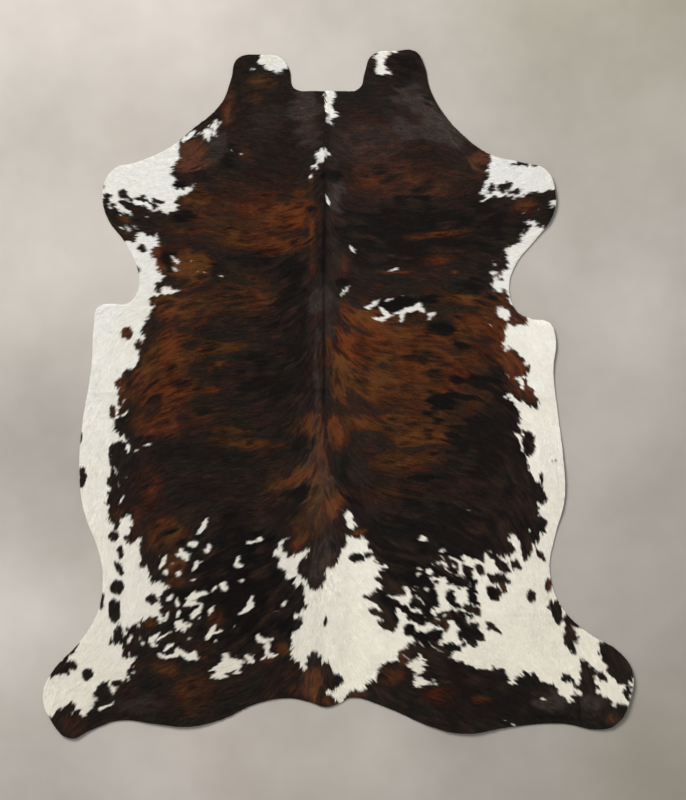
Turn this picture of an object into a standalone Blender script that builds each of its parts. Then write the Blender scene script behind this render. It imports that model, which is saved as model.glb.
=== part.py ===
"""A hair-on cowhide rug, laid flat with the hair side up.

Metres, +Z up, +Y towards the neck, +X towards the hide's right-hand legs as seen from above.
The origin is at floor level, under the middle of the hide's bounding box.
The hide is one piece, cut round its edge and neither hemmed nor lined, so it is one solid:
its leather and the lie of its coat together, with the creases it kept from being folded
and the places where its edge stands a little off the floor.
"""

import bmesh
import bpy
from mathutils import Vector

# Driving dimensions
LENGTH = 2.26  # neck lobes to hind feet, along Y
LEATHER = 0.0022  # thickness of the tanned skin
COAT_LIE = 0.0038  # height of the hair, which lies nearly flat on the skin
THICKNESS = LEATHER + COAT_LIE

CELL = 0.055  # spacing of the sheet's own facets
FACET_SNAP = 0.004  # an edge point this near a facet line is on it
RIM_STEPS = 4  # straight steps along each stretch of the edge
MERGE = 0.0001  # vertices nearer than this are one

# The spine, where the hide was folded in half: a trough between two soft rolls
SPINE_X = -0.045
SPINE_END_Y = 0.99  # the rolls fade out this far from the middle, both ways
SPINE_FADE = 0.25
ROLL_OFFSET = 0.042  # from the trough to the crown of each roll
ROLL_HALF_WIDTH = 0.042
ROLL_HEIGHT = 0.005

COAT_COLOUR = (0.045, 0.021, 0.012, 1.0)
COAT_ROUGHNESS = 0.7

# The cut edge, round the hide from the left end of the neck cut and down its left side.
# A round landmark is passed in a smooth curve, and a sharp one is a cut corner.
# Columns: landmark, x, y, shape
LEFT_EDGE = (
    ("neck cut, left end", -0.118, 0.999, "sharp"),
    ("neck lobe, root", -0.147, 1.010, "round"),
    ("neck lobe, inside", -0.161, 1.070, "round"),
    ("neck lobe, inner shoulder", -0.190, 1.109, "round"),
    ("neck lobe, top", -0.250, 1.118, "round"),
    ("neck lobe, outer shoulder", -0.332, 1.104, "round"),
    ("neck lobe, outside", -0.352, 1.040, "round"),
    ("neck, side", -0.385, 0.958, "round"),
    ("neck, flare", -0.476, 0.876, "round"),
    ("shoulder", -0.556, 0.812, "round"),
    ("front leg, upper edge", -0.670, 0.762, "round"),
    ("front foot, upper", -0.735, 0.744, "round"),
    ("front foot, end", -0.773, 0.678, "round"),
    ("front foot, lower", -0.762, 0.588, "round"),
    ("front leg, lower edge", -0.696, 0.493, "round"),
    ("armpit, upper", -0.658, 0.405, "round"),
    ("armpit, lower", -0.659, 0.340, "round"),
    ("armpit, foot of the flap", -0.688, 0.302, "round"),
    ("belly flap, front edge", -0.750, 0.299, "round"),
    ("belly flap, corner", -0.790, 0.288, "round"),
    ("belly flap, side", -0.803, 0.225, "round"),
    ("belly, front", -0.812, 0.085, "round"),
    ("belly, middle", -0.841, -0.095, "round"),
    ("belly, widest", -0.851, -0.230, "round"),
    ("belly, rear", -0.838, -0.375, "round"),
    ("flank, upper", -0.785, -0.525, "round"),
    ("flank, waist", -0.774, -0.600, "round"),
    ("thigh", -0.792, -0.716, "round"),
    ("hind leg, upper edge", -0.852, -0.814, "round"),
    ("hind leg, hock", -0.935, -0.903, "round"),
    ("hind foot, end", -0.971, -0.985, "round"),
    ("hind foot, lower", -0.948, -1.064, "round"),
    ("hind foot, tip", -0.882, -1.129, "round"),
    ("hind foot, inside", -0.812, -1.101, "round"),
    ("hind leg, lower edge", -0.720, -1.071, "round"),
    ("buttock, outer", -0.595, -1.083, "round"),
    ("buttock, middle", -0.490, -1.091, "round"),
    ("buttock, inner", -0.385, -1.068, "round"),
    ("rump, left", -0.270, -1.016, "round"),
    ("rump, left of the tail", -0.165, -0.998, "round"),
    ("tail, left side", -0.095, -1.010, "round"),
    ("tail, end", -0.040, -1.026, "round"),
)
# The same round the right side, from the tail up to the right end of the neck cut.
RIGHT_EDGE = (
    ("tail, right side", 0.010, -1.010, "round"),
    ("rump, right of the tail", 0.036, -0.997, "round"),
    ("rump, right", 0.150, -1.025, "round"),
    ("buttock, inner", 0.285, -1.084, "round"),
    ("buttock, middle", 0.410, -1.114, "round"),
    ("buttock, outer", 0.560, -1.093, "round"),
    ("hind leg, lower edge", 0.735, -1.081, "round"),
    ("hind foot, inside", 0.865, -1.100, "round"),
    ("hind foot, tip", 0.918, -1.080, "round"),
    ("hind foot, end", 0.959, -0.995, "round"),
    ("hind foot, upper", 0.966, -0.912, "round"),
    ("hind leg, hock", 0.925, -0.846, "round"),
    ("hind leg, upper edge", 0.822, -0.783, "round"),
    ("thigh", 0.735, -0.698, "round"),
    ("flank, waist", 0.694, -0.575, "round"),
    ("flank, upper", 0.710, -0.470, "round"),
    ("belly, rear", 0.742, -0.345, "round"),
    ("belly, widest", 0.739, -0.215, "round"),
    ("belly, middle", 0.720, -0.055, "round"),
    ("belly, front", 0.706, 0.080, "round"),
    ("belly flap, side", 0.713, 0.190, "round"),
    ("belly flap, corner", 0.693, 0.238, "round"),
    ("belly flap, front edge", 0.632, 0.251, "round"),
    ("armpit, foot of the flap", 0.585, 0.276, "round"),
    ("armpit, middle", 0.561, 0.350, "round"),
    ("armpit, upper", 0.580, 0.424, "round"),
    ("front leg, lower edge", 0.650, 0.514, "round"),
    ("front foot, lower", 0.704, 0.588, "round"),
    ("front foot, end", 0.712, 0.668, "round"),
    ("front foot, upper", 0.683, 0.738, "round"),
    ("front leg, upper edge", 0.610, 0.762, "round"),
    ("shoulder", 0.501, 0.789, "round"),
    ("neck, flare", 0.414, 0.850, "round"),
    ("neck, side", 0.342, 0.930, "round"),
    ("neck lobe, root", 0.300, 1.008, "round"),
    ("neck lobe, outside", 0.281, 1.085, "round"),
    ("neck lobe, outer shoulder", 0.252, 1.129, "round"),
    ("neck lobe, top", 0.190, 1.130, "round"),
    ("neck lobe, inner shoulder", 0.110, 1.116, "round"),
    ("neck lobe, inside", 0.086, 1.060, "round"),
    ("neck lobe, foot", 0.072, 1.012, "round"),
    ("neck cut, right end", 0.050, 0.999, "sharp"),
)

# Fold lines that run across the hide, each a low roll that fades out at both ends.
# Columns: fold, y of its crown, x where it starts, x where it ends, half width, height
CROSS_FOLDS = (
    ("middle, left flank", 0.005, -0.840, -0.200, 0.035, 0.0030),
    ("middle, right flank", -0.010, 0.200, 0.740, 0.035, 0.0030),
    ("rear, right flank", -0.375, 0.300, 0.760, 0.030, 0.0022),
    ("thigh, right", -0.720, 0.400, 0.760, 0.030, 0.0022),
)
CROSS_FADE = 0.12

# Places where the hide stands off the floor, highest over the named point.
# Columns: place, x, y, reach, height
LIFTS = (
    ("neck lobe, left", -0.270, 1.170, 0.17, 0.0060),
    ("neck lobe, right", 0.210, 1.190, 0.19, 0.0080),
    ("front foot, left", -0.830, 0.690, 0.20, 0.0050),
    ("front foot, right", 0.770, 0.650, 0.22, 0.0090),
    ("belly flap, right", 0.790, 0.150, 0.20, 0.0080),
    ("belly, left", -0.930, -0.200, 0.22, 0.0040),
    ("belly, right", 0.820, -0.280, 0.24, 0.0080),
    ("hind foot, right", 1.010, -1.000, 0.26, 0.0110),
    ("buttock, right", 0.420, -1.200, 0.24, 0.0080),
    ("buttock, left", -0.520, -1.180, 0.24, 0.0080),
    ("hind foot, left", -0.960, -1.150, 0.22, 0.0080),
    ("tail", -0.040, -1.100, 0.15, 0.0050),
)


def fade(distance, reach):
    """1 at distance 0, falling smoothly to exactly 0 at reach and beyond."""
    share = min(abs(distance) / reach, 1.0)
    return (1.0 - share * share) ** 2


def ease(value):
    """0 below 0 and 1 above 1, with a smooth rise between."""
    share = min(max(value, 0.0), 1.0)
    return share * share * (3.0 - 2.0 * share)


def between(value, low, high, run):
    """1 inside the stretch from low to high, easing to 0 at both of its ends."""
    return ease((value - low) / run) * ease((high - value) / run)


def stand_off(x, y):
    """How far the underside is above the floor at a point of the hide."""
    along_spine = between(y, -SPINE_END_Y, SPINE_END_Y, SPINE_FADE)
    from_roll = abs(x - SPINE_X) - ROLL_OFFSET
    height = ROLL_HEIGHT * along_spine * fade(from_roll, ROLL_HALF_WIDTH)
    for _name, crown_y, start_x, end_x, half_width, rise in CROSS_FOLDS:
        height += rise * between(x, start_x, end_x, CROSS_FADE) * fade(y - crown_y, half_width)
    for _name, place_x, place_y, reach, rise in LIFTS:
        height += rise * fade((Vector((x, y)) - Vector((place_x, place_y))).length, reach)
    return height


def facet_lines(low, high, wanted):
    """Where the sheet's facets meet along one axis: the wanted lines, and even steps between them."""
    stops = sorted([low] + [line for line in wanted if low < line < high] + [high])
    lines = []
    for start, end in zip(stops, stops[1:]):
        steps = max(1, round((end - start) / CELL))
        lines += [start + (end - start) * step / steps for step in range(steps)]
    return lines[1:]


def outline_object():
    """The hide's outline as a filled flat curve, as thick as the hide."""
    curve = bpy.data.curves.new("hide_outline", "CURVE")
    curve.dimensions = "2D"
    curve.fill_mode = "BOTH"
    curve.extrude = THICKNESS / 2
    curve.resolution_u = RIM_STEPS
    spline = curve.splines.new("BEZIER")
    edge = LEFT_EDGE + RIGHT_EDGE
    spline.bezier_points.add(len(edge) - 1)
    spline.use_cyclic_u = True
    for point, (_landmark, x, y, shape) in zip(spline.bezier_points, edge):
        point.co = (x, y, 0.0)
        handle = "VECTOR" if shape == "sharp" else "AUTO"
        point.handle_left_type = handle
        point.handle_right_type = handle
    outline = bpy.data.objects.new("hide_outline", curve)
    bpy.context.scene.collection.objects.link(outline)
    return outline


def mesh_of(outline):
    """The filled outline as a mesh, centred over the origin, and the curve removed."""
    graph = bpy.context.evaluated_depsgraph_get()
    mesh = bpy.data.meshes.new_from_object(outline.evaluated_get(graph))
    bpy.data.objects.remove(outline)
    return mesh


def centre_and_scale(bm):
    """Brings the hide to its stated length, over the origin, with its underside at floor level."""
    lows = [min(v.co[axis] for v in bm.verts) for axis in range(3)]
    highs = [max(v.co[axis] for v in bm.verts) for axis in range(3)]
    middle = Vector(((lows[0] + highs[0]) / 2, (lows[1] + highs[1]) / 2, lows[2]))
    scale = LENGTH / (highs[1] - lows[1])
    for v in bm.verts:
        v.co -= middle
        v.co.x *= scale
        v.co.y *= scale


def cut_facets(bm):
    """Cuts the two big faces along the fold lines and into even cells between them."""
    for level in (0.0, THICKNESS):
        flat = [f for f in bm.faces if all(abs(v.co.z - level) < MERGE for v in f.verts)]
        bmesh.ops.dissolve_faces(bm, faces=flat, use_verts=False)
    lows = [min(v.co[axis] for v in bm.verts) for axis in (0, 1)]
    highs = [max(v.co[axis] for v in bm.verts) for axis in (0, 1)]
    roll_lines = [SPINE_X + side * (ROLL_OFFSET + part * ROLL_HALF_WIDTH)
                  for side in (-1, 1) for part in (-0.5, 0.0, 0.5, 1.0)]
    fold_lines = [row[1] + part * row[4] for row in CROSS_FOLDS for part in (-1, 0, 1)]
    wanted = ([SPINE_X] + roll_lines, fold_lines)
    for axis in (0, 1):
        normal = Vector((1 - axis, axis, 0))
        for line in facet_lines(lows[axis], highs[axis], wanted[axis]):
            whole = bm.verts[:] + bm.edges[:] + bm.faces[:]
            bmesh.ops.bisect_plane(
                bm, geom=whole, dist=FACET_SNAP, plane_co=normal * line, plane_no=normal)


def coat_material():
    material = bpy.data.materials.new("brindle_coat")
    material.use_nodes = True
    shader = material.node_tree.nodes["Principled BSDF"]
    shader.inputs["Base Color"].default_value = COAT_COLOUR
    shader.inputs["Roughness"].default_value = COAT_ROUGHNESS
    shader.inputs["Metallic"].default_value = 0.0
    return material


def make_hide(collection):
    mesh = mesh_of(outline_object())
    bm = bmesh.new()
    bm.from_mesh(mesh)
    bmesh.ops.remove_doubles(bm, verts=bm.verts, dist=MERGE)
    centre_and_scale(bm)
    cut_facets(bm)
    bmesh.ops.triangulate(bm, faces=bm.faces[:])
    for v in bm.verts:
        v.co.z += stand_off(v.co.x, v.co.y)
    bmesh.ops.recalc_face_normals(bm, faces=bm.faces[:])
    bm.to_mesh(mesh)
    bm.free()
    mesh.name = "hide"
    mesh.shade_smooth()
    mesh.set_sharp_from_angle(angle=0.6)
    mesh.materials.clear()
    mesh.materials.append(coat_material())
    hide = bpy.data.objects.new("hide", mesh)
    collection.objects.link(hide)
    return hide


def main():
    for old in list(bpy.data.objects):
        bpy.data.objects.remove(old)
    rug = bpy.data.collections.new("cowhide_rug")
    bpy.context.scene.collection.children.link(rug)
    make_hide(rug)


main()
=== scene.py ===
"""The looks of a hair-on cowhide rug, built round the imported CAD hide.

The rug is one thin tanned skin with a suede back and a cut edge, under a short coat of hair
blades that lie nearly flat. Where the hair points, where the coat is white and how the dark
coat is brindled are worked out on one fine grid over the hide, from short tables of places
measured on the hide, and the skin and every hair read that grid.
Metres and the CAD's own frame, except where a table says that it is in millimetres.
"""

import math

import bmesh
import bpy
import numpy as np
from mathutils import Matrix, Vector
from mathutils.bvhtree import BVHTree
from mathutils.geometry import delaunay_2d_cdt

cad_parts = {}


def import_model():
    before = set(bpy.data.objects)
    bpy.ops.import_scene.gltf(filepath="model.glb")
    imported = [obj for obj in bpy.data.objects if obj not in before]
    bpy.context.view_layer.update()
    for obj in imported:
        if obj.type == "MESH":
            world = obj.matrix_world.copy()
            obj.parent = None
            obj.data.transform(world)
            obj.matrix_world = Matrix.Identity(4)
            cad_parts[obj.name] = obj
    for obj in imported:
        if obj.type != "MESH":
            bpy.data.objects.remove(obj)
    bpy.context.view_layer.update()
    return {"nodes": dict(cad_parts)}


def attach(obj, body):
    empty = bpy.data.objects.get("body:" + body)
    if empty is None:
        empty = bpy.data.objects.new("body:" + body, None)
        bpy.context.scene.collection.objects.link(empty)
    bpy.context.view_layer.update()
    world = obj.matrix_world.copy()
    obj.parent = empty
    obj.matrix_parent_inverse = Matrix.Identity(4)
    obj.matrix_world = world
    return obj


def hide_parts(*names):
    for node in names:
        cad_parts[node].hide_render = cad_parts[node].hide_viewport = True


SPINE_X = -0.045  # the line from which the hair parts to both sides
LEATHER = 0.0022  # thickness of the tanned skin

# The fine grid over the hide
CELL = 0.0025
GRID_X, COLUMNS = -1.01, 809
GRID_Y, ROWS = -1.17, 937
REACH = 0.03  # distances from an edge are known this far
GUIDE_STEP = 8  # cells between the places where the hair's direction is worked out
LIFT_STEP = 4  # cells between the places where the CAD hide's lift is read

# The skin's mesh
RIM_STEP = 0.005  # between points along the cut edge
RIM_KNOT = 0.012  # corners of the CAD outline nearer to each other than this count as one
RIM_MARGIN = 0.0045  # no inner point is nearer to the edge than this
TOP_STEP, UNDER_STEP = 0.0066, 0.020  # between points of the haired face and of the underside
SPINE_FROM, SPINE_TO = -1.0, 0.99  # where extra points follow the spine, in three lanes
SPINE_STEP, SPINE_LANE = 0.007, 0.003  # between points of a lane, and from lane to lane
ROW_STEP = 0.866  # rows of even triangles are this share of a step apart
THINNEST = 0.0008  # the skin, in the deepest crease
TOP_INSET, UNDER_INSET = 0.0005, 0.0003  # of both faces, behind the middle of the cut edge

# The hair
HAIR_SPACING = 0.00214
HAIR_LENGTH = 0.014
HAIR_WIDTH = 0.0019
HAIR_SLOPE = 6.0  # degrees above the skin
HAIR_OVERHANG = 0.0015  # past the cut edge
HAIR_CLEARANCE = 0.0004  # of a tip, above what its slope gives
ROOT_MARGIN = 0.0003  # no hair grows nearer to the edge than this
TURN_BY_TUFT, TURN_BY_HAIR = 0.42, 0.10  # how much hairs turn aside, in radians
ROLL_BY_HAIR, ROLL_BY_TUFT = 0.10, 0.24  # and how much they roll
STRAY = 0.0007  # how far single hairs take a patch's edge with them
WHITE_AT = (0.45, 0.8, 0.45)  # shares of a hair's run where its three corners take their white
ROOT_COLOUR_AT, TIP_COLOUR_AT = 0.3, 0.6  # and where its roots and its tip take the rest
PARTING = 0.004  # over which the hair turns from one side of the spine to the other
STREAK_STEP = 0.005  # along the hair, between the places that a streak of noise joins
COAT_BANDS = ("rump", "loin", "middle", "shoulder", "neck")  # from the tail forwards

# ---------------------------------------------------------------- where the hair points
# The angle is from straight back towards the tail, and positive away from the spine.
# Columns: place, distance from the spine, y, angle in degrees
HAIR_GUIDES = (
    ("neck, midline", 0.02, 0.95, 80),
    ("neck", 0.15, 0.93, 92),
    ("neck, side", 0.32, 0.93, 70),
    ("neck lobe", 0.24, 1.08, 70),
    ("crest", 0.02, 0.78, 70),
    ("crest, side", 0.18, 0.78, 100),
    ("shoulder, front", 0.31, 0.78, 108),
    ("shoulder, edge", 0.40, 0.86, 50),
    ("withers", 0.01, 0.60, 20),
    ("withers, side", 0.07, 0.60, 78),
    ("shoulder", 0.22, 0.58, 88),
    ("shoulder, low", 0.42, 0.55, 95),
    ("front leg", 0.60, 0.67, 104),
    ("front foot", 0.73, 0.67, 110),
    ("front leg, rear edge", 0.60, 0.53, 90),
    ("back, front", 0.015, 0.38, 12),
    ("ribs, front, top", 0.08, 0.40, 66),
    ("ribs, front", 0.25, 0.38, 88),
    ("ribs, front, low", 0.46, 0.38, 78),
    ("armpit", 0.60, 0.38, 62),
    ("back", 0.02, 0.10, 6),
    ("ribs, top", 0.09, 0.12, 46),
    ("ribs, upper", 0.15, 0.12, 74),
    ("ribs", 0.28, 0.12, 88),
    ("ribs, low", 0.42, 0.12, 82),
    ("ribs, lowest", 0.52, 0.12, 62),
    ("belly flap", 0.60, 0.15, 44),
    ("belly edge", 0.72, 0.10, 30),
    ("back, rear", 0.02, -0.20, 6),
    ("loin, top", 0.09, -0.20, 44),
    ("loin, upper", 0.17, -0.20, 76),
    ("loin", 0.30, -0.20, 87),
    ("flank, upper", 0.46, -0.20, 80),
    ("flank, middle", 0.55, -0.20, 60),
    ("flank", 0.62, -0.20, 42),
    ("flank edge", 0.74, -0.25, 16),
    ("croup, middle", 0.02, -0.50, 8),
    ("croup", 0.10, -0.48, 34),
    ("loin, rear, top", 0.10, -0.35, 52),
    ("loin, rear", 0.28, -0.35, 84),
    ("flank, rear", 0.50, -0.35, 66),
    ("hip", 0.25, -0.50, 66),
    ("hip, low", 0.42, -0.48, 52),
    ("thigh, front", 0.60, -0.55, 26),
    ("waist", 0.72, -0.60, 14),
    ("rump, middle", 0.02, -0.75, 8),
    ("rump", 0.15, -0.70, 48),
    ("rump, side", 0.30, -0.72, 55),
    ("thigh", 0.48, -0.75, 50),
    ("thigh, outer", 0.68, -0.72, 18),
    ("tail", 0.03, -1.00, 4),
    ("beside the tail", 0.14, -0.92, 42),
    ("buttock", 0.35, -0.98, 72),
    ("buttock, outer", 0.55, -0.98, 66),
    ("hind leg", 0.75, -0.90, 30),
    ("hind leg, rear edge", 0.72, -1.03, 62),
    ("hind foot", 0.92, -1.00, 28),
)

# ---------------------------------------------------------------- white and dark patches
# Closed loops round the patches, in millimetres, painted in this order over a dark coat.
# A loop that reaches the edge of the hide passes outside it.
# Columns: patch, coat, points (x, y)
PATCHES = (
    ("left neck lobe", "white", (
        (-264, 1101), (-258, 1109), (-256, 1140), (-150, 1110), (-164, 1078), (-172, 1072),
        (-178, 1064), (-191, 1060), (-199, 1050), (-205, 1043), (-211, 1050), (-219, 1060),
        (-236, 1070), (-256, 1083), (-262, 1091))),
    ("right neck lobe", "white", (
        (124, 1124), (130, 1145), (190, 1145), (195, 1124), (183, 1119), (173, 1121),
        (169, 1111), (154, 1103), (152, 1087), (154, 1068), (165, 1064), (173, 1062),
        (175, 1052), (183, 1046), (171, 1041), (163, 1046), (154, 1054), (144, 1052),
        (136, 1041), (126, 1050), (124, 1070), (122, 1095), (124, 1115))),
    ("neck midline", "white", (
        (-43, 1010), (-6, 1010), (-12, 992), (-10, 980), (-16, 967), (-14, 955), (-18, 947),
        (-8, 935), (-2, 918), (-6, 906), (-18, 898), (-12, 885), (-8, 869), (-20, 885),
        (-41, 887), (-32, 898), (-34, 918), (-43, 931), (-49, 939), (-41, 947), (-37, 959),
        (-45, 976), (-43, 988))),
    ("crest tuft", "white", (
        (-53, 805), (-35, 803), (-28, 791), (-30, 774), (-35, 766), (-45, 772), (-51, 762),
        (-65, 754), (-71, 746), (-76, 735), (-84, 735), (-82, 750), (-74, 762), (-80, 774),
        (-76, 787), (-67, 799))),
    ("left shoulder and front leg", "white", (
        (-412, 893), (-400, 897), (-389, 902), (-388, 890), (-398, 880), (-401, 860),
        (-405, 832), (-411, 845), (-416, 858), (-424, 850), (-430, 822), (-438, 826),
        (-441, 845), (-452, 852), (-470, 845), (-492, 835), (-515, 826), (-528, 800),
        (-531, 762), (-547, 735), (-541, 712), (-518, 701), (-530, 697), (-543, 687),
        (-538, 676), (-520, 672), (-503, 677), (-484, 681), (-476, 689), (-467, 686),
        (-482, 672), (-508, 657), (-524, 649), (-533, 630), (-531, 604), (-545, 602),
        (-552, 594), (-565, 587), (-573, 604), (-580, 600), (-592, 594), (-603, 601),
        (-611, 597), (-627, 609), (-639, 618), (-657, 623), (-676, 622), (-688, 631),
        (-697, 640), (-713, 636), (-704, 616), (-697, 604), (-684, 590), (-671, 576),
        (-692, 584), (-697, 590), (-708, 592), (-712, 581), (-723, 602), (-733, 608),
        (-742, 611), (-756, 614), (-772, 624), (-820, 640), (-860, 680), (-780, 820),
        (-600, 860), (-540, 850), (-528, 826), (-514, 838), (-505, 845), (-495, 848),
        (-486, 858), (-473, 860), (-470, 850), (-458, 850), (-450, 864), (-436, 868),
        (-431, 882), (-424, 880), (-424, 866), (-418, 860), (-414, 870))),
    ("left armpit", "white", (
        (-702, 503), (-680, 500), (-658, 502), (-662, 524), (-650, 530), (-636, 519),
        (-620, 517), (-602, 523), (-594, 507), (-596, 487), (-616, 473), (-613, 458),
        (-603, 436), (-597, 418), (-587, 402), (-566, 392), (-574, 377), (-594, 366),
        (-606, 353), (-590, 347), (-560, 349), (-535, 346), (-519, 333), (-540, 327),
        (-575, 326), (-600, 320), (-620, 306), (-610, 290), (-612, 275), (-622, 262),
        (-640, 236), (-720, 236), (-720, 330), (-720, 480))),
    ("left belly, front", "white", (
        (-632, 245), (-640, 228), (-652, 214), (-644, 205), (-641, 192), (-631, 188),
        (-644, 168), (-656, 176), (-666, 168), (-674, 151), (-660, 141), (-652, 137),
        (-661, 120), (-658, 104), (-671, 86), (-690, 77), (-698, 80), (-705, 62), (-716, 50),
        (-726, 54), (-735, 30), (-721, 16), (-720, 0), (-722, -20), (-727, -43), (-716, -40),
        (-718, -62), (-728, -80), (-737, -98), (-742, -115), (-734, -125), (-721, -125),
        (-714, -140), (-760, -145), (-900, -145), (-900, -50), (-860, 100), (-850, 330),
        (-740, 330), (-690, 306), (-640, 262))),
    ("left belly, rear", "white", (
        (-714, -140), (-700, -138), (-693, -145), (-692, -160), (-700, -163), (-712, -154),
        (-730, -160), (-746, -156), (-751, -172), (-747, -190), (-748, -212), (-752, -227),
        (-745, -240), (-749, -262), (-758, -284), (-754, -300), (-741, -301), (-749, -318),
        (-757, -337), (-766, -357), (-757, -372), (-757, -412), (-746, -420), (-738, -436),
        (-727, -444), (-716, -430), (-711, -412), (-700, -401), (-688, -404), (-684, -420),
        (-675, -432), (-687, -448), (-690, -462), (-697, -470), (-690, -490), (-678, -494),
        (-668, -485), (-650, -474), (-643, -487), (-650, -500), (-656, -515), (-648, -525),
        (-650, -545), (-658, -567), (-760, -569), (-840, -569), (-870, -450), (-900, -350),
        (-900, -143))),
    ("left waist and thigh", "white", (
        (-658, -565), (-640, -564), (-631, -568), (-630, -582), (-620, -600), (-611, -620),
        (-597, -627), (-583, -622), (-570, -635), (-553, -629), (-566, -648), (-580, -656),
        (-588, -675), (-583, -698), (-590, -722), (-577, -730), (-570, -738), (-575, -750),
        (-592, -748), (-598, -738), (-605, -731), (-620, -735), (-645, -744), (-651, -758),
        (-662, -764), (-690, -768), (-695, -765), (-696, -785), (-701, -800), (-706, -788),
        (-711, -774), (-722, -757), (-733, -775), (-740, -800), (-753, -818), (-745, -824),
        (-900, -824), (-870, -760), (-850, -700), (-820, -600), (-840, -565))),
    ("left hind leg", "white", (
        (-753, -815), (-740, -820), (-712, -823), (-701, -835), (-714, -853), (-700, -862),
        (-690, -866), (-685, -850), (-680, -862), (-665, -864), (-664, -876), (-672, -890),
        (-676, -900), (-690, -904), (-697, -918), (-689, -933), (-700, -942), (-712, -955),
        (-725, -965), (-735, -985), (-745, -970), (-750, -950), (-770, -950), (-788, -960),
        (-796, -972), (-803, -990), (-800, -1010), (-811, -1032), (-817, -1046), (-830, -1056),
        (-839, -1063), (-848, -1045), (-855, -1036), (-868, -1036), (-862, -1022),
        (-862, -1010), (-872, -1006), (-882, -1018), (-897, -1030), (-900, -1040),
        (-915, -1036), (-925, -1045), (-940, -1055), (-958, -1055), (-1020, -1060),
        (-1020, -900), (-930, -815))),
    ("croup finger", "white", (
        (-165, -477), (-172, -487), (-182, -496), (-188, -504), (-180, -518), (-168, -530),
        (-148, -536), (-130, -523), (-105, -512), (-93, -507), (-98, -530), (-118, -540),
        (-129, -555), (-132, -595), (-122, -608), (-106, -614), (-96, -637), (-90, -650),
        (-95, -690), (-104, -688), (-116, -680), (-110, -662), (-110, -642), (-119, -629),
        (-132, -632), (-151, -630), (-141, -616), (-140, -604), (-165, -602), (-178, -590),
        (-191, -578), (-195, -556), (-196, -544), (-217, -535), (-210, -520), (-200, -508),
        (-192, -490), (-181, -480))),
    ("rump", "white", (
        (30, -472), (45, -467), (62, -473), (80, -475), (90, -463), (98, -482), (99, -492),
        (108, -506), (111, -530), (120, -550), (135, -558), (152, -560), (159, -570),
        (143, -582), (138, -592), (145, -602), (146, -622), (146, -638), (130, -647),
        (108, -656), (97, -660), (88, -671), (95, -682), (108, -681), (124, -689), (139, -703),
        (132, -710), (116, -708), (106, -715), (114, -727), (130, -736), (150, -744),
        (140, -748), (132, -748), (137, -760), (150, -768), (170, -776), (181, -781),
        (188, -768), (198, -758), (212, -758), (215, -780), (226, -795), (241, -800),
        (253, -814), (243, -820), (232, -823), (226, -833), (214, -840), (202, -843),
        (203, -858), (207, -868), (203, -876), (190, -880), (178, -888), (165, -884),
        (138, -886), (136, -905), (138, -922), (130, -930), (128, -943), (112, -940),
        (103, -944), (98, -958), (90, -972), (70, -974), (48, -971), (28, -974), (28, -990),
        (20, -1020), (0, -1020), (-8, -1008), (-22, -998), (-36, -993), (-45, -984),
        (-38, -978), (-18, -978), (-4, -972), (2, -958), (16, -948), (13, -930), (5, -920),
        (-16, -915), (-20, -900), (-22, -886), (-36, -879), (-46, -884), (-53, -892),
        (-57, -868), (-66, -850), (-80, -838), (-92, -850), (-99, -866), (-105, -880),
        (-101, -894), (-108, -912), (-120, -898), (-132, -884), (-146, -872), (-166, -866),
        (-152, -852), (-155, -835), (-153, -812), (-154, -790), (-140, -785), (-129, -778),
        (-124, -764), (-117, -753), (-121, -740), (-136, -734), (-151, -730), (-138, -722),
        (-118, -715), (-106, -702), (-101, -690), (-103, -660), (-96, -640), (-80, -642),
        (-62, -636), (-50, -631), (-45, -608), (-43, -590), (-35, -574), (-20, -567),
        (-8, -555), (2, -543), (14, -533), (17, -518), (15, -505), (24, -495), (31, -484))),
    ("croup spot", "white", (
        (20, -385), (45, -387), (43, -399), (55, -412), (57, -430), (44, -443), (31, -437),
        (27, -410))),
    ("right front leg", "white", (
        (504, 810), (504, 782), (502, 768), (500, 747), (492, 731), (488, 710), (483, 690),
        (477, 673), (463, 661), (473, 657), (481, 653), (473, 636), (463, 628), (486, 630),
        (492, 645), (502, 651), (514, 649), (520, 643), (531, 649), (547, 655), (553, 647),
        (566, 647), (574, 636), (580, 643), (592, 651), (613, 649), (621, 657), (637, 661),
        (662, 663), (679, 665), (691, 671), (703, 667), (760, 680), (740, 800), (600, 810))),
    ("right front foot, rear corner", "white", (
        (693, 616), (700, 632), (720, 640), (720, 618))),
    ("right front leg, rear edge", "white", (
        (611, 567), (617, 571), (637, 567), (654, 571), (650, 554), (670, 550), (720, 520),
        (640, 440), (600, 360), (590, 300), (577, 283), (560, 300), (557, 320), (557, 339),
        (531, 339), (518, 328), (518, 343), (504, 351), (510, 361), (508, 374), (524, 385),
        (541, 394), (545, 406), (557, 419), (555, 439), (551, 456), (555, 478), (564, 487),
        (590, 493), (603, 509), (617, 526), (633, 534), (635, 554))),
    ("right armpit spot", "white", (
        (519, 269), (527, 282), (542, 282), (556, 279), (564, 261), (558, 251), (552, 234),
        (542, 238), (531, 253))),
    ("right belly", "white", (
        (622, 249), (624, 222), (611, 226), (597, 226), (577, 221), (562, 226), (556, 216),
        (554, 197), (550, 177), (546, 160), (540, 150), (546, 138), (554, 119), (548, 146),
        (558, 152), (568, 152), (581, 144), (593, 128), (609, 111), (614, 91), (630, 86),
        (636, 74), (632, 62), (618, 60), (609, 58), (607, 49), (624, 45), (626, 29), (638, 13),
        (651, -4), (661, -24), (659, -49), (648, -43), (642, -45), (634, -56), (624, -41),
        (618, -24), (607, -22), (601, -31), (591, -20), (577, -6), (562, -2), (548, -12),
        (554, -18), (572, -20), (585, -37), (599, -57), (601, -74), (609, -88), (601, -92),
        (595, -82), (593, -98), (601, -115), (599, -131), (610, -195), (618, -199), (622, -222),
        (628, -242), (636, -273), (648, -283), (663, -298), (673, -312), (681, -332),
        (685, -353), (669, -359), (655, -359), (657, -378), (667, -398), (655, -402),
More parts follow.
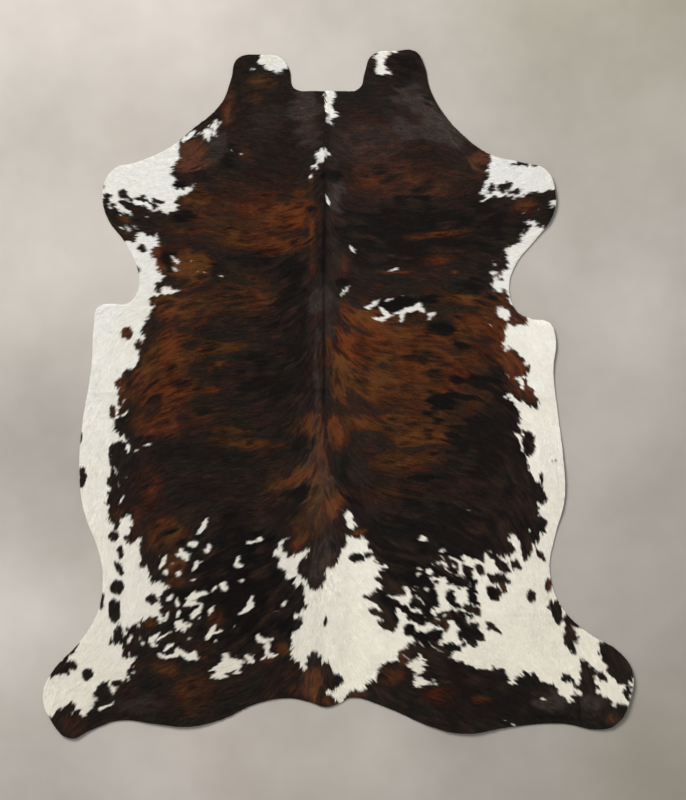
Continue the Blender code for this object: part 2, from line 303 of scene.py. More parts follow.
        (672, -415), (664, -430), (680, -442), (669, -461), (655, -470), (760, -470),
        (790, -350), (790, -200), (760, 0), (760, 260), (700, 300))),
    ("right thigh", "white", (
        (300, -600), (311, -596), (355, -597), (372, -586), (369, -560), (367, -538),
        (380, -540), (395, -545), (410, -543), (413, -530), (410, -518), (419, -523),
        (429, -529), (443, -533), (465, -540), (478, -536), (489, -530), (492, -523),
        (500, -519), (511, -515), (520, -521), (522, -533), (541, -533), (558, -537),
        (570, -536), (570, -527), (580, -517), (572, -498), (564, -482), (558, -473),
        (574, -469), (591, -470), (600, -487), (607, -506), (603, -531), (619, -549),
        (628, -539), (638, -535), (634, -510), (636, -498), (650, -496), (652, -484),
        (665, -473), (669, -461), (760, -461), (740, -600), (790, -760), (620, -850),
        (470, -850), (400, -830), (400, -760), (345, -712), (343, -731), (322, -738),
        (311, -733), (309, -719), (314, -711), (322, -700), (333, -692), (335, -681),
        (328, -667), (320, -653), (317, -642), (311, -625), (301, -610))),
    ("right chain, upper", "white", (
        (160, -659), (180, -670), (197, -672), (197, -662), (215, -659), (224, -650),
        (216, -629), (226, -629), (236, -632), (240, -643), (246, -654), (246, -664),
        (237, -670), (234, -680), (231, -690), (236, -700), (247, -705), (256, -703),
        (262, -692), (266, -700), (275, -711), (287, -729), (278, -722), (268, -716),
        (252, -717), (240, -711), (228, -698), (212, -690), (198, -682), (180, -680))),
    ("right chain, lower", "white", (
        (183, -768), (188, -760), (200, -757), (206, -748), (202, -741), (195, -724),
        (192, -711), (200, -708), (210, -711), (218, -718), (228, -724), (231, -733),
        (232, -742), (248, -749), (262, -752), (270, -760), (280, -762), (290, -755),
        (300, -750), (305, -759), (314, -763), (339, -764), (342, -774), (352, -782),
        (361, -785), (369, -777), (372, -768), (369, -760), (362, -755), (369, -738),
        (377, -744), (384, -745), (396, -755), (403, -766), (402, -777), (398, -788),
        (396, -800), (407, -809), (418, -815), (432, -822), (446, -824), (457, -822),
        (470, -850), (420, -870), (372, -864), (372, -853), (385, -849), (404, -848),
        (407, -838), (402, -829), (388, -823), (372, -820), (350, -826), (337, -826),
        (333, -816), (344, -807), (348, -794), (344, -787), (339, -777), (325, -774),
        (317, -778), (300, -779), (290, -782), (273, -781), (262, -779), (255, -790),
        (246, -797), (255, -804), (262, -815), (250, -820), (215, -800))),
    ("right hind leg", "white", (
        (371, -859), (375, -873), (399, -879), (420, -887), (436, -899), (461, -903),
        (486, -899), (506, -907), (514, -901), (549, -901), (555, -912), (559, -924),
        (568, -936), (561, -946), (572, -955), (578, -957), (586, -949), (592, -936),
        (605, -928), (607, -916), (617, -916), (629, -922), (644, -920), (656, -930),
        (666, -944), (683, -951), (703, -951), (713, -965), (728, -981), (738, -1002),
        (755, -1006), (765, -1010), (775, -1020), (773, -1006), (769, -992), (771, -985),
        (785, -985), (800, -988), (793, -973), (781, -967), (781, -951), (791, -946),
        (793, -932), (798, -907), (796, -895), (794, -883), (804, -877), (814, -883),
        (830, -895), (845, -903), (843, -924), (841, -940), (853, -957), (851, -969),
        (843, -977), (845, -983), (863, -988), (884, -998), (894, -1004), (896, -1018),
        (909, -1025), (925, -1020), (941, -1027), (1010, -1030), (1010, -850), (800, -730),
        (600, -760), (400, -830))),
    ("right buttock", "white", (
        (228, -884), (248, -876), (262, -871), (265, -861), (276, -860), (285, -868),
        (283, -879), (289, -889), (281, -896), (278, -906), (265, -926), (300, -944),
        (350, -939), (314, -950), (281, -955), (262, -965), (248, -965), (252, -945),
        (258, -915), (239, -898), (228, -894))),
    ("left buttock blob", "white", (
        (-392, -855), (-381, -857), (-365, -851), (-357, -864), (-338, -866), (-324, -876),
        (-312, -876), (-316, -892), (-324, -898), (-322, -909), (-328, -921), (-338, -919),
        (-342, -911), (-357, -913), (-369, -915), (-372, -927), (-357, -929), (-361, -938),
        (-375, -935), (-394, -931), (-412, -937), (-437, -933), (-418, -927), (-404, -923),
        (-400, -917), (-410, -913), (-427, -909), (-414, -898), (-400, -892), (-392, -880),
        (-388, -870))),
    ("left thigh blob", "white", (
        (-543, -757), (-530, -745), (-518, -741), (-506, -749), (-489, -753), (-471, -751),
        (-475, -761), (-493, -765), (-495, -780), (-506, -776), (-518, -769), (-530, -780),
        (-537, -769))),
    ("thigh island", "dark", (
        (356, -597), (372, -590), (385, -560), (396, -555), (391, -568), (399, -578),
        (401, -590), (399, -598), (408, -604), (413, -612), (413, -626), (404, -638),
        (391, -637), (380, -629), (369, -629), (355, -618), (355, -608))),
    ("thigh island, second", "dark", (
        (411, -567), (421, -564), (439, -566), (443, -577), (448, -585), (443, -592),
        (432, -588), (424, -590), (416, -579))),
    ("thigh island, third", "dark", (
        (454, -563), (462, -566), (466, -574), (476, -573), (480, -582), (470, -586),
        (472, -594), (462, -594), (459, -582), (451, -574))),
    ("thigh island, long", "dark", (
        (407, -599), (416, -592), (427, -593), (435, -599), (442, -605), (453, -601),
        (457, -618), (457, -634), (459, -653), (454, -664), (450, -675), (459, -686),
        (465, -703), (469, -716), (466, -727), (457, -730), (450, -722), (437, -711),
        (427, -705), (416, -700), (418, -693), (432, -692), (436, -678), (429, -664),
        (421, -649), (425, -634), (428, -620), (416, -612))),
    ("thigh island, below it", "dark", (
        (426, -716), (437, -725), (448, -733), (443, -744), (432, -738), (424, -727))),
    ("thigh island, inner", "dark", (
        (354, -656), (366, -656), (370, -645), (380, -649), (384, -667), (387, -675),
        (380, -686), (369, -689), (358, -678), (358, -664))),
    ("thigh island, spike", "dark", (
        (311, -610), (322, -612), (333, -625), (329, -631), (317, -626))),
    ("thigh island, great", "dark", (
        (363, -708), (372, -705), (388, -716), (399, -716), (407, -712), (416, -716),
        (418, -727), (421, -741), (427, -753), (443, -759), (450, -751), (459, -749),
        (468, -755), (472, -764), (468, -775), (476, -785), (480, -794), (485, -809),
        (470, -809), (455, -812), (457, -822), (446, -825), (432, -822), (421, -815),
        (407, -808), (398, -800), (396, -790), (402, -777), (400, -763), (394, -753),
        (385, -744), (369, -735), (343, -719))),
    ("thigh spot, upper", "dark", (
        (541, -552), (558, -558), (561, -579), (547, -590), (536, -577), (533, -563))),
    ("thigh spot, outer", "dark", (
        (581, -552), (591, -553), (595, -563), (585, -573), (577, -579), (573, -573),
        (577, -563))),
    ("thigh spot, middle", "dark", (
        (500, -610), (509, -599), (520, -588), (533, -593), (531, -610), (525, -620),
        (515, -623), (507, -618))),
    ("thigh spot, beside it", "dark", (
        (533, -596), (555, -599), (565, -618), (550, -612), (541, -610))),
    ("thigh spot, lower", "dark", (
        (495, -651), (506, -640), (522, -636), (533, -645), (533, -659), (522, -670),
        (520, -678), (513, -682), (503, -675), (499, -664))),
    ("thigh spot, hook", "dark", (
        (495, -756), (503, -757), (517, -770), (528, -781), (522, -783), (509, -774),
        (499, -777), (494, -771))),
    ("hind leg, upper patch", "dark", (
        (687, -684), (699, -686), (711, -680), (726, -686), (734, -702), (730, -719),
        (726, -723), (734, -735), (730, -758), (715, -756), (707, -739), (703, -719),
        (695, -702), (685, -698))),
    ("hind leg, long patch", "dark", (
        (738, -743), (750, -731), (765, -735), (785, -747), (802, -762), (816, -776),
        (802, -774), (785, -770), (769, -762), (775, -778), (785, -792), (791, -805),
        (785, -819), (769, -809), (777, -829), (785, -862), (769, -852), (757, -844),
        (746, -829), (742, -813), (744, -784), (746, -764))),
    ("hind leg, outer patch", "dark", (
        (855, -819), (867, -815), (884, -821), (909, -834), (933, -850), (960, -866),
        (975, -887), (975, -916), (965, -944), (945, -953), (925, -949), (904, -932),
        (884, -916), (874, -905), (880, -895), (886, -889), (869, -875), (859, -862),
        (861, -844))),
    ("hind foot, patch", "dark", (
        (931, -977), (941, -965), (952, -957), (966, -969), (964, -990), (952, -1002),
        (941, -990))),
    ("hind leg, patch in the fold", "dark", (
        (845, -905), (859, -910), (872, -922), (884, -938), (876, -951), (863, -944),
        (853, -936), (849, -920))),
    ("hind leg, rear patch", "dark", (
        (734, -932), (740, -920), (755, -924), (769, -930), (775, -944), (785, -965),
        (775, -963), (765, -949), (752, -951), (742, -944))),
    ("right flank island", "dark", (
        (614, -119), (624, -127), (638, -129), (648, -144), (646, -168), (638, -176),
        (642, -189), (636, -209), (624, -201), (614, -195), (607, -172), (603, -152),
        (605, -137))),
    ("right front leg, upper edge", "dark", (
        (574, 747), (580, 758), (596, 763), (629, 758), (633, 753), (619, 747), (596, 749))),
    ("right shoulder spot", "dark", (
        (486, 669), (498, 682), (506, 692), (516, 688), (514, 669), (508, 661), (494, 663))),
    ("right shoulder streak", "dark", (
        (525, 673), (535, 690), (551, 695), (570, 695), (568, 684), (555, 673), (541, 663),
        (527, 663))),
    ("right shoulder streak, lower", "dark", (
        (551, 661), (564, 671), (580, 669), (600, 673), (605, 667), (590, 657), (559, 656))),
    ("left hind foot, patch", "dark", (
        (-953, -924), (-939, -901), (-918, -885), (-902, -868), (-888, -856), (-881, -864),
        (-886, -877), (-879, -893), (-881, -914), (-890, -930), (-902, -924), (-914, -928),
        (-931, -926), (-947, -938))),
    ("rump spot", "dark", (
        (37, -529), (53, -521), (63, -525), (88, -539), (82, -549), (67, -553), (53, -555),
        (43, -541))),
)

# Small marks in millimetres, painted over the patches: the dark ones first, then the white.
# A stroke is a chain of points, as wide at each as its radius. Columns: x, y, radius
WHITE_STROKES = (
    ((-432, -411, 4), (-440, -428, 9), (-450, -446, 10), (-462, -458, 4)),
    ((-548, 452, 4), (-539, 442, 5), (-528, 431, 5)),
    ((-546, 416, 3), (-539, 406, 4), (-532, 402, 2), (-534, 420, 2)),
    ((-518, -513, 8), (-508, -530, 12), (-500, -545, 8)),
    ((-533, -530, 4), (-508, -530, 6), (-490, -530, 4)),
    ((-568, -533, 4), (-575, -552, 9), (-583, -570, 5)),
    ((-468, -559, 9), (-478, -580, 4)),
    ((-430, -655, 5), (-450, -658, 10), (-468, -662, 13), (-485, -668, 10), (-496, -672, 5)),
    ((-448, -692, 3), (-470, -686, 7), (-490, -688, 10), (-505, -694, 5)),
    ((-530, -676, 6), (-525, -690, 8)),
    ((-548, -663, 5), (-557, -676, 8)),
    ((-452, -700, 6), (-462, -715, 11), (-478, -728, 11), (-487, -725, 5)),
    ((-522, -712, 5), (-528, -730, 5)),
    ((-412, -700, 4), (-420, -712, 8), (-425, -725, 4)),
    ((-408, -762, 5), (-415, -780, 10), (-425, -795, 11), (-430, -805, 5)),
    ((-415, -782, 6), (-400, -785, 5), (-387, -779, 4)),
    ((-372, -620, 6), (-380, -628, 9), (-371, -643, 8)),
    ((-400, -633, 6), (-413, -649, 4)),
    ((-590, -789, 5), (-603, -800, 7), (-618, -808, 8), (-607, -825, 8), (-598, -830, 5)),
    ((-549, -782, 3), (-570, -795, 4), (-595, -809, 5)),
    ((-595, -855, 5), (-578, -865, 7), (-550, -862, 6), (-530, -857, 7)),
    ((-570, -842, 6), (-558, -830, 7), (-545, -822, 6)),
    ((-530, -840, 9), (-520, -850, 9), (-505, -858, 9), (-490, -865, 12), (-475, -855, 12),
     (-468, -868, 8)),
    ((-681, -800, 6), (-688, -817, 5)),
    ((-706, -338, 4), (-713, -352, 4), (-718, -362, 3)),
    ((-557, -720, 4), (-570, -745, 4)),
    ((-295, -487, 5), (-280, -488, 4), (-270, -483, 4)),
    ((-325, -537, 5), (-332, -550, 6), (-340, -562, 8), (-325, -564, 8), (-316, -563, 4)),
    ((-283, -665, 5), (-290, -682, 8), (-287, -695, 11), (-300, -708, 9), (-318, -718, 5),
     (-328, -723, 3)),
    ((-175, -678, 3), (-180, -692, 8)),
    ((-265, -795, 7), (-260, -808, 11), (-245, -810, 7), (-230, -806, 6), (-215, -806, 5)),
    ((-235, -812, 6), (-235, -825, 9), (-235, -845, 7), (-225, -858, 8), (-205, -860, 6)),
    ((-240, -862, 5), (-255, -873, 2)),
    ((-303, -865, 9), (-292, -873, 12), (-285, -880, 7)),
    ((-750, -950, 3), (-738, -985, 3), (-732, -973, 3)),
    ((-783, -1033, 7), (-765, -1028, 4), (-745, -1022, 5), (-739, -1013, 3)),
    ((-688, -168, 6), (-690, -180, 7), (-690, -193, 4)),
    ((-642, -168, 2), (-628, -168, 4), (-614, -166, 2)),
    ((-738, -244, 2), (-732, -256, 4), (-724, -263, 2)),
    ((-705, -22, 3), (-710, -38, 2)),
    ((-690, -57, 4), (-712, -75, 4)),
    ((-699, 554, 2), (-691, 545, 5), (-684, 535, 4)),
    ((-716, 550, 2), (-709, 543, 4)),
    ((-676, 556, 2), (-669, 548, 3), (-663, 541, 2)),
    ((-43, 648, 3), (-28, 625, 6)),
    ((43, 484, 3), (47, 475, 4), (58, 471, 2)),
    ((47, 470, 2), (55, 466, 2)),
    ((163, 401, 2), (177, 406, 4), (187, 411, 5), (197, 415, 3)),
    ((38, 354, 3), (30, 346, 4), (20, 329, 4), (8, 317, 2)),
    ((88, 284, 3), (101, 281, 6), (117, 292, 7), (133, 305, 6), (140, 310, 2)),
    ((161, 304, 4), (170, 309, 5), (178, 315, 3)),
    ((138, 284, 4), (150, 277, 7), (155, 266, 8), (166, 260, 6), (178, 259, 2)),
    ((124, 249, 5), (136, 245, 8), (150, 249, 8), (163, 257, 6)),
    ((180, 259, 2), (192, 264, 4), (205, 268, 6), (224, 273, 8), (245, 279, 9), (260, 287, 10),
     (271, 295, 5)),
    ((262, 284, 9), (276, 274, 8), (285, 266, 3)),
    ((215, 264, 7), (210, 250, 6), (207, 239, 5)),
    ((302, 262, 5), (311, 262, 7), (318, 266, 4)),
    ((306, 256, 5), (303, 246, 4)),
    ((495, 230, 2), (507, 212, 1)),
    ((550, 65, 2), (565, 53, 1)),
    ((584, 52, 4), (598, 48, 8), (604, 32, 7), (607, 15, 4)),
    ((605, 592, 2), (617, 600, 2)),
    ((607, 527, 2), (615, 545, 2)),
    ((325, -556, 4), (345, -555, 5), (358, -568, 4)),
    ((338, -533, 3), (350, -545, 2)),
    ((353, -573, 3), (372, -585, 2)),
    ((369, -537, 3), (396, -552, 3)),
    ((258, -664, 3), (285, -690, 3)),
    ((330, -600, 2), (345, -612, 4), (352, -626, 3)),
    ((392, -600, 3), (404, -600, 2)),
    ((400, -650, 3), (410, -660, 5), (402, -675, 3)),
    ((440, -690, 2), (448, -700, 3)),
    ((360, -725, 3), (345, -735, 3)),
    ((378, -800, 2), (388, -812, 3)),
    ((270, -817, 2), (285, -835, 2)),
    ((303, -817, 2), (318, -835, 2)),
    ((320, -838, 2), (345, -849, 2)),
    ((205, -853, 2), (235, -875, 2)),
    ((584, -129, 4), (597, -145, 6), (603, -170, 5), (608, -189, 3)),
    ((94, -681, 6), (110, -689, 7), (127, -699, 7), (139, -711, 4)),
    ((110, -729, 3), (130, -736, 5), (151, -746, 3)),
)

DARK_STROKES = (
    ((374, -836, 8), (394, -838, 8), (404, -844, 4)),
    ((-603, 319, 4), (-611, 308, 8), (-617, 296, 6)),
    ((-600, 343, 2), (-584, 341, 2)),
    ((-600, 336, 3), (-582, 334, 3)),
    ((668, -408, 6), (677, -424, 9), (672, -444, 8), (681, -456, 3)),
    ((-717, 663, 7), (-706, 668, 7), (-696, 662, 5)),
    ((-716, 651, 6), (-702, 650, 6), (-690, 645, 5), (-681, 637, 5)),
    ((-718, 630, 4), (-705, 624, 7), (-692, 615, 9), (-682, 604, 7)),
    ((-668, 643, 3), (-650, 641, 6), (-634, 636, 5), (-622, 633, 3)),
    ((-648, 648, 4), (-638, 651, 4)),
    ((-612, 641, 3), (-602, 633, 6), (-588, 629, 7), (-575, 628, 4)),
    ((-617, 626, 3), (-603, 619, 5), (-590, 613, 2)),
    ((-718, -512, 10), (-714, -535, 7)),
    ((-728, -560, 9), (-718, -575, 10), (-710, -590, 7)),
    ((-860, -828, 6), (-878, -850, 7)),
    ((-840, -250, 9), (-836, -272, 12), (-842, -300, 9)),
    ((513, -522, 5), (518, -540, 4), (520, -555, 2)),
    ((465, -541, 5), (480, -553, 4)),
    ((205, -853, 8), (217, -852, 13), (226, -850, 8)),
    ((205, -868, 8), (214, -876, 12), (226, -880, 7)),
    ((545, 410, 4), (528, 396, 4), (508, 380, 4)),
    ((310, -948, 3), (302, -927, 8), (292, -920, 5)),
    ((372, -522, 7), (393, -536, 8), (411, -550, 4)),
    ((418, -520, 7), (446, -533, 10), (476, -540, 7)),
    ((498, -528, 5), (516, -539, 8), (536, -552, 5)),
    ((346, -552, 5), (366, -568, 8), (386, -586, 5)),
    ((376, -550, 4), (392, -564, 5)),
    ((416, -566, 6), (430, -582, 16), (440, -594, 6)),
    ((457, -566, 6), (468, -578, 14), (478, -590, 5)),
    ((520, -554, 6), (541, -568, 16), (560, -582, 7)),
    ((570, -554, 5), (583, -564, 13), (598, -574, 5)),
    ((492, -596, 5), (512, -608, 15), (538, -612, 13), (564, -617, 4)),
    ((534, -618, 6), (543, -636, 11), (549, -654, 5)),
    ((500, -644, 12), (513, -658, 20), (522, -674, 9)),
    ((372, -610, 8), (400, -618, 12), (430, -624, 12)),
    ((432, -630, 10), (440, -652, 15), (442, -680, 10)),
    ((374, -652, 8), (370, -664, 13), (374, -676, 6)),
    ((376, -690, 6), (388, -698, 8), (404, -702, 4)),
    ((420, -700, 8), (444, -708, 15), (464, -724, 6)),
    ((492, -753, 7), (508, -767, 10), (521, -778, 7), (533, -787, 3)),
    ((326, -726, 6), (356, -732, 10), (392, -738, 9), (420, -744, 6)),
    ((412, -762, 8), (438, -774, 22), (462, -792, 14), (470, -806, 8)),
    ((605, -500, 6), (610, -526, 7), (613, -548, 4)),
    ((648, -505, 2), (658, -520, 5), (672, -538, 8), (676, -546, 4)),
    ((300, -790, 12), (330, -792, 10)),
    ((127, -609, 6), (146, -614, 7)),
    ((88, -668, 6), (104, -671, 8), (122, -676, 6)),
    ((108, -711, 5), (130, -718, 8), (160, -722, 9)),
    ((133, -751, 4), (151, -762, 8), (177, -772, 9)),
)

# Oval spots in millimetres. Columns: x, y, width, height
WHITE_SPOTS = (
    (-478, -494, 34, 24), (-424, -500, 16, 20), (-430, -513, 20, 16), (-588, -535, 6, 6),
    (-543, -557, 14, 6), (-566, -585, 18, 22), (-525, -593, 22, 18), (-452, -552, 13, 8),
    (-476, -610, 20, 8), (-490, -801, 10, 10), (-458, -735, 8, 8), (-405, -812, 10, 10),
    (-652, -762, 12, 12), (-650, -800, 4, 20), (-645, -823, 12, 12), (-685, -852, 8, 8),
    (-259, -477, 20, 18), (-321, -614, 16, 13), (-200, -714, 10, 5), (-337, -763, 14, 5),
    (-245, -830, 8, 8), (-225, -828, 8, 8), (-280, -857, 8, 8), (-673, -915, 10, 14),
    (-690, -941, 8, 8), (-874, -1048, 8, 8), (-663, -185, 14, 8), (-697, -274, 10, 7),
    (-722, -304, 10, 5), (-634, 582, 14, 5), (-563, 587, 6, 6), (-487, 434, 7, 5),
    (-465, 399, 7, 5), (-438, 399, 15, 5), (-382, 385, 14, 6), (-353, 800, 8, 6),
    (-318, 786, 10, 7), (-88, 712, 16, 12), (-281, 1064, 18, 10), (210, 322, 8, 4),
    (428, -380, 16, 4), (504, 437, 7, 5), (515, 423, 8, 12), (513, 397, 20, 16),
    (660, 609, 8, 5), (270, -576, 15, 12), (264, -593, 12, 16), (300, -583, 22, 20),
    (313, -563, 12, 5), (343, -515, 22, 10), (257, -634, 8, 8), (290, -640, 10, 12),
    (281, -477, 26, 18), (630, -452, 8, 8), (434, -628, 5, 14), (672, -1000, 20, 9),
    (551, -1073, 8, 6), (575, -1088, 12, 8),
)

DARK_SPOTS = (
    (237, -778, 38, 40), (413, -823, 20, 15), (302, -927, 35, 16), (664, -528, 22, 26),
    (635, -664, 27, 40), (393, -693, 12, 11), (690, -630, 24, 46), (-694, 200, 38, 42),
    (-741, -60, 18, 48), (-845, -146, 10, 38), (-738, -467, 32, 36), (-699, -473, 16, 18),
    (-727, -635, 44, 48), (-735, -713, 40, 76), (-778, -680, 16, 50), (-612, -675, 38, 34),
    (-870, -893, 24, 30), (-824, -922, 36, 38), (-727, -950, 33, 23), (-604, 609, 18, 8),
    (-756, 650, 29, 14), (-763, 633, 24, 20), (-740, 620, 21, 14), (-770, 680, 6, 12),
    (-517, 834, 10, 8), (-713, 754, 7, 5), (-771, 680, 7, 7), (-659, 404, 9, 34),
    (-644, 478, 26, 26), (545, 322, 28, 22), (536, 376, 12, 8), (668, -275, 12, 44),
    (626, -234, 8, 8), (702, -220, 6, 6), (714, -221, 7, 7), (649, 752, 26, 9),
    (61, -538, 54, 32), (101, -532, 22, 19), (-42, -751, 13, 31), (-357, -921, 32, 12),
    (-548, -845, 22, 12), (-505, -838, 34, 17), (113, 1110, 16, 14),
)

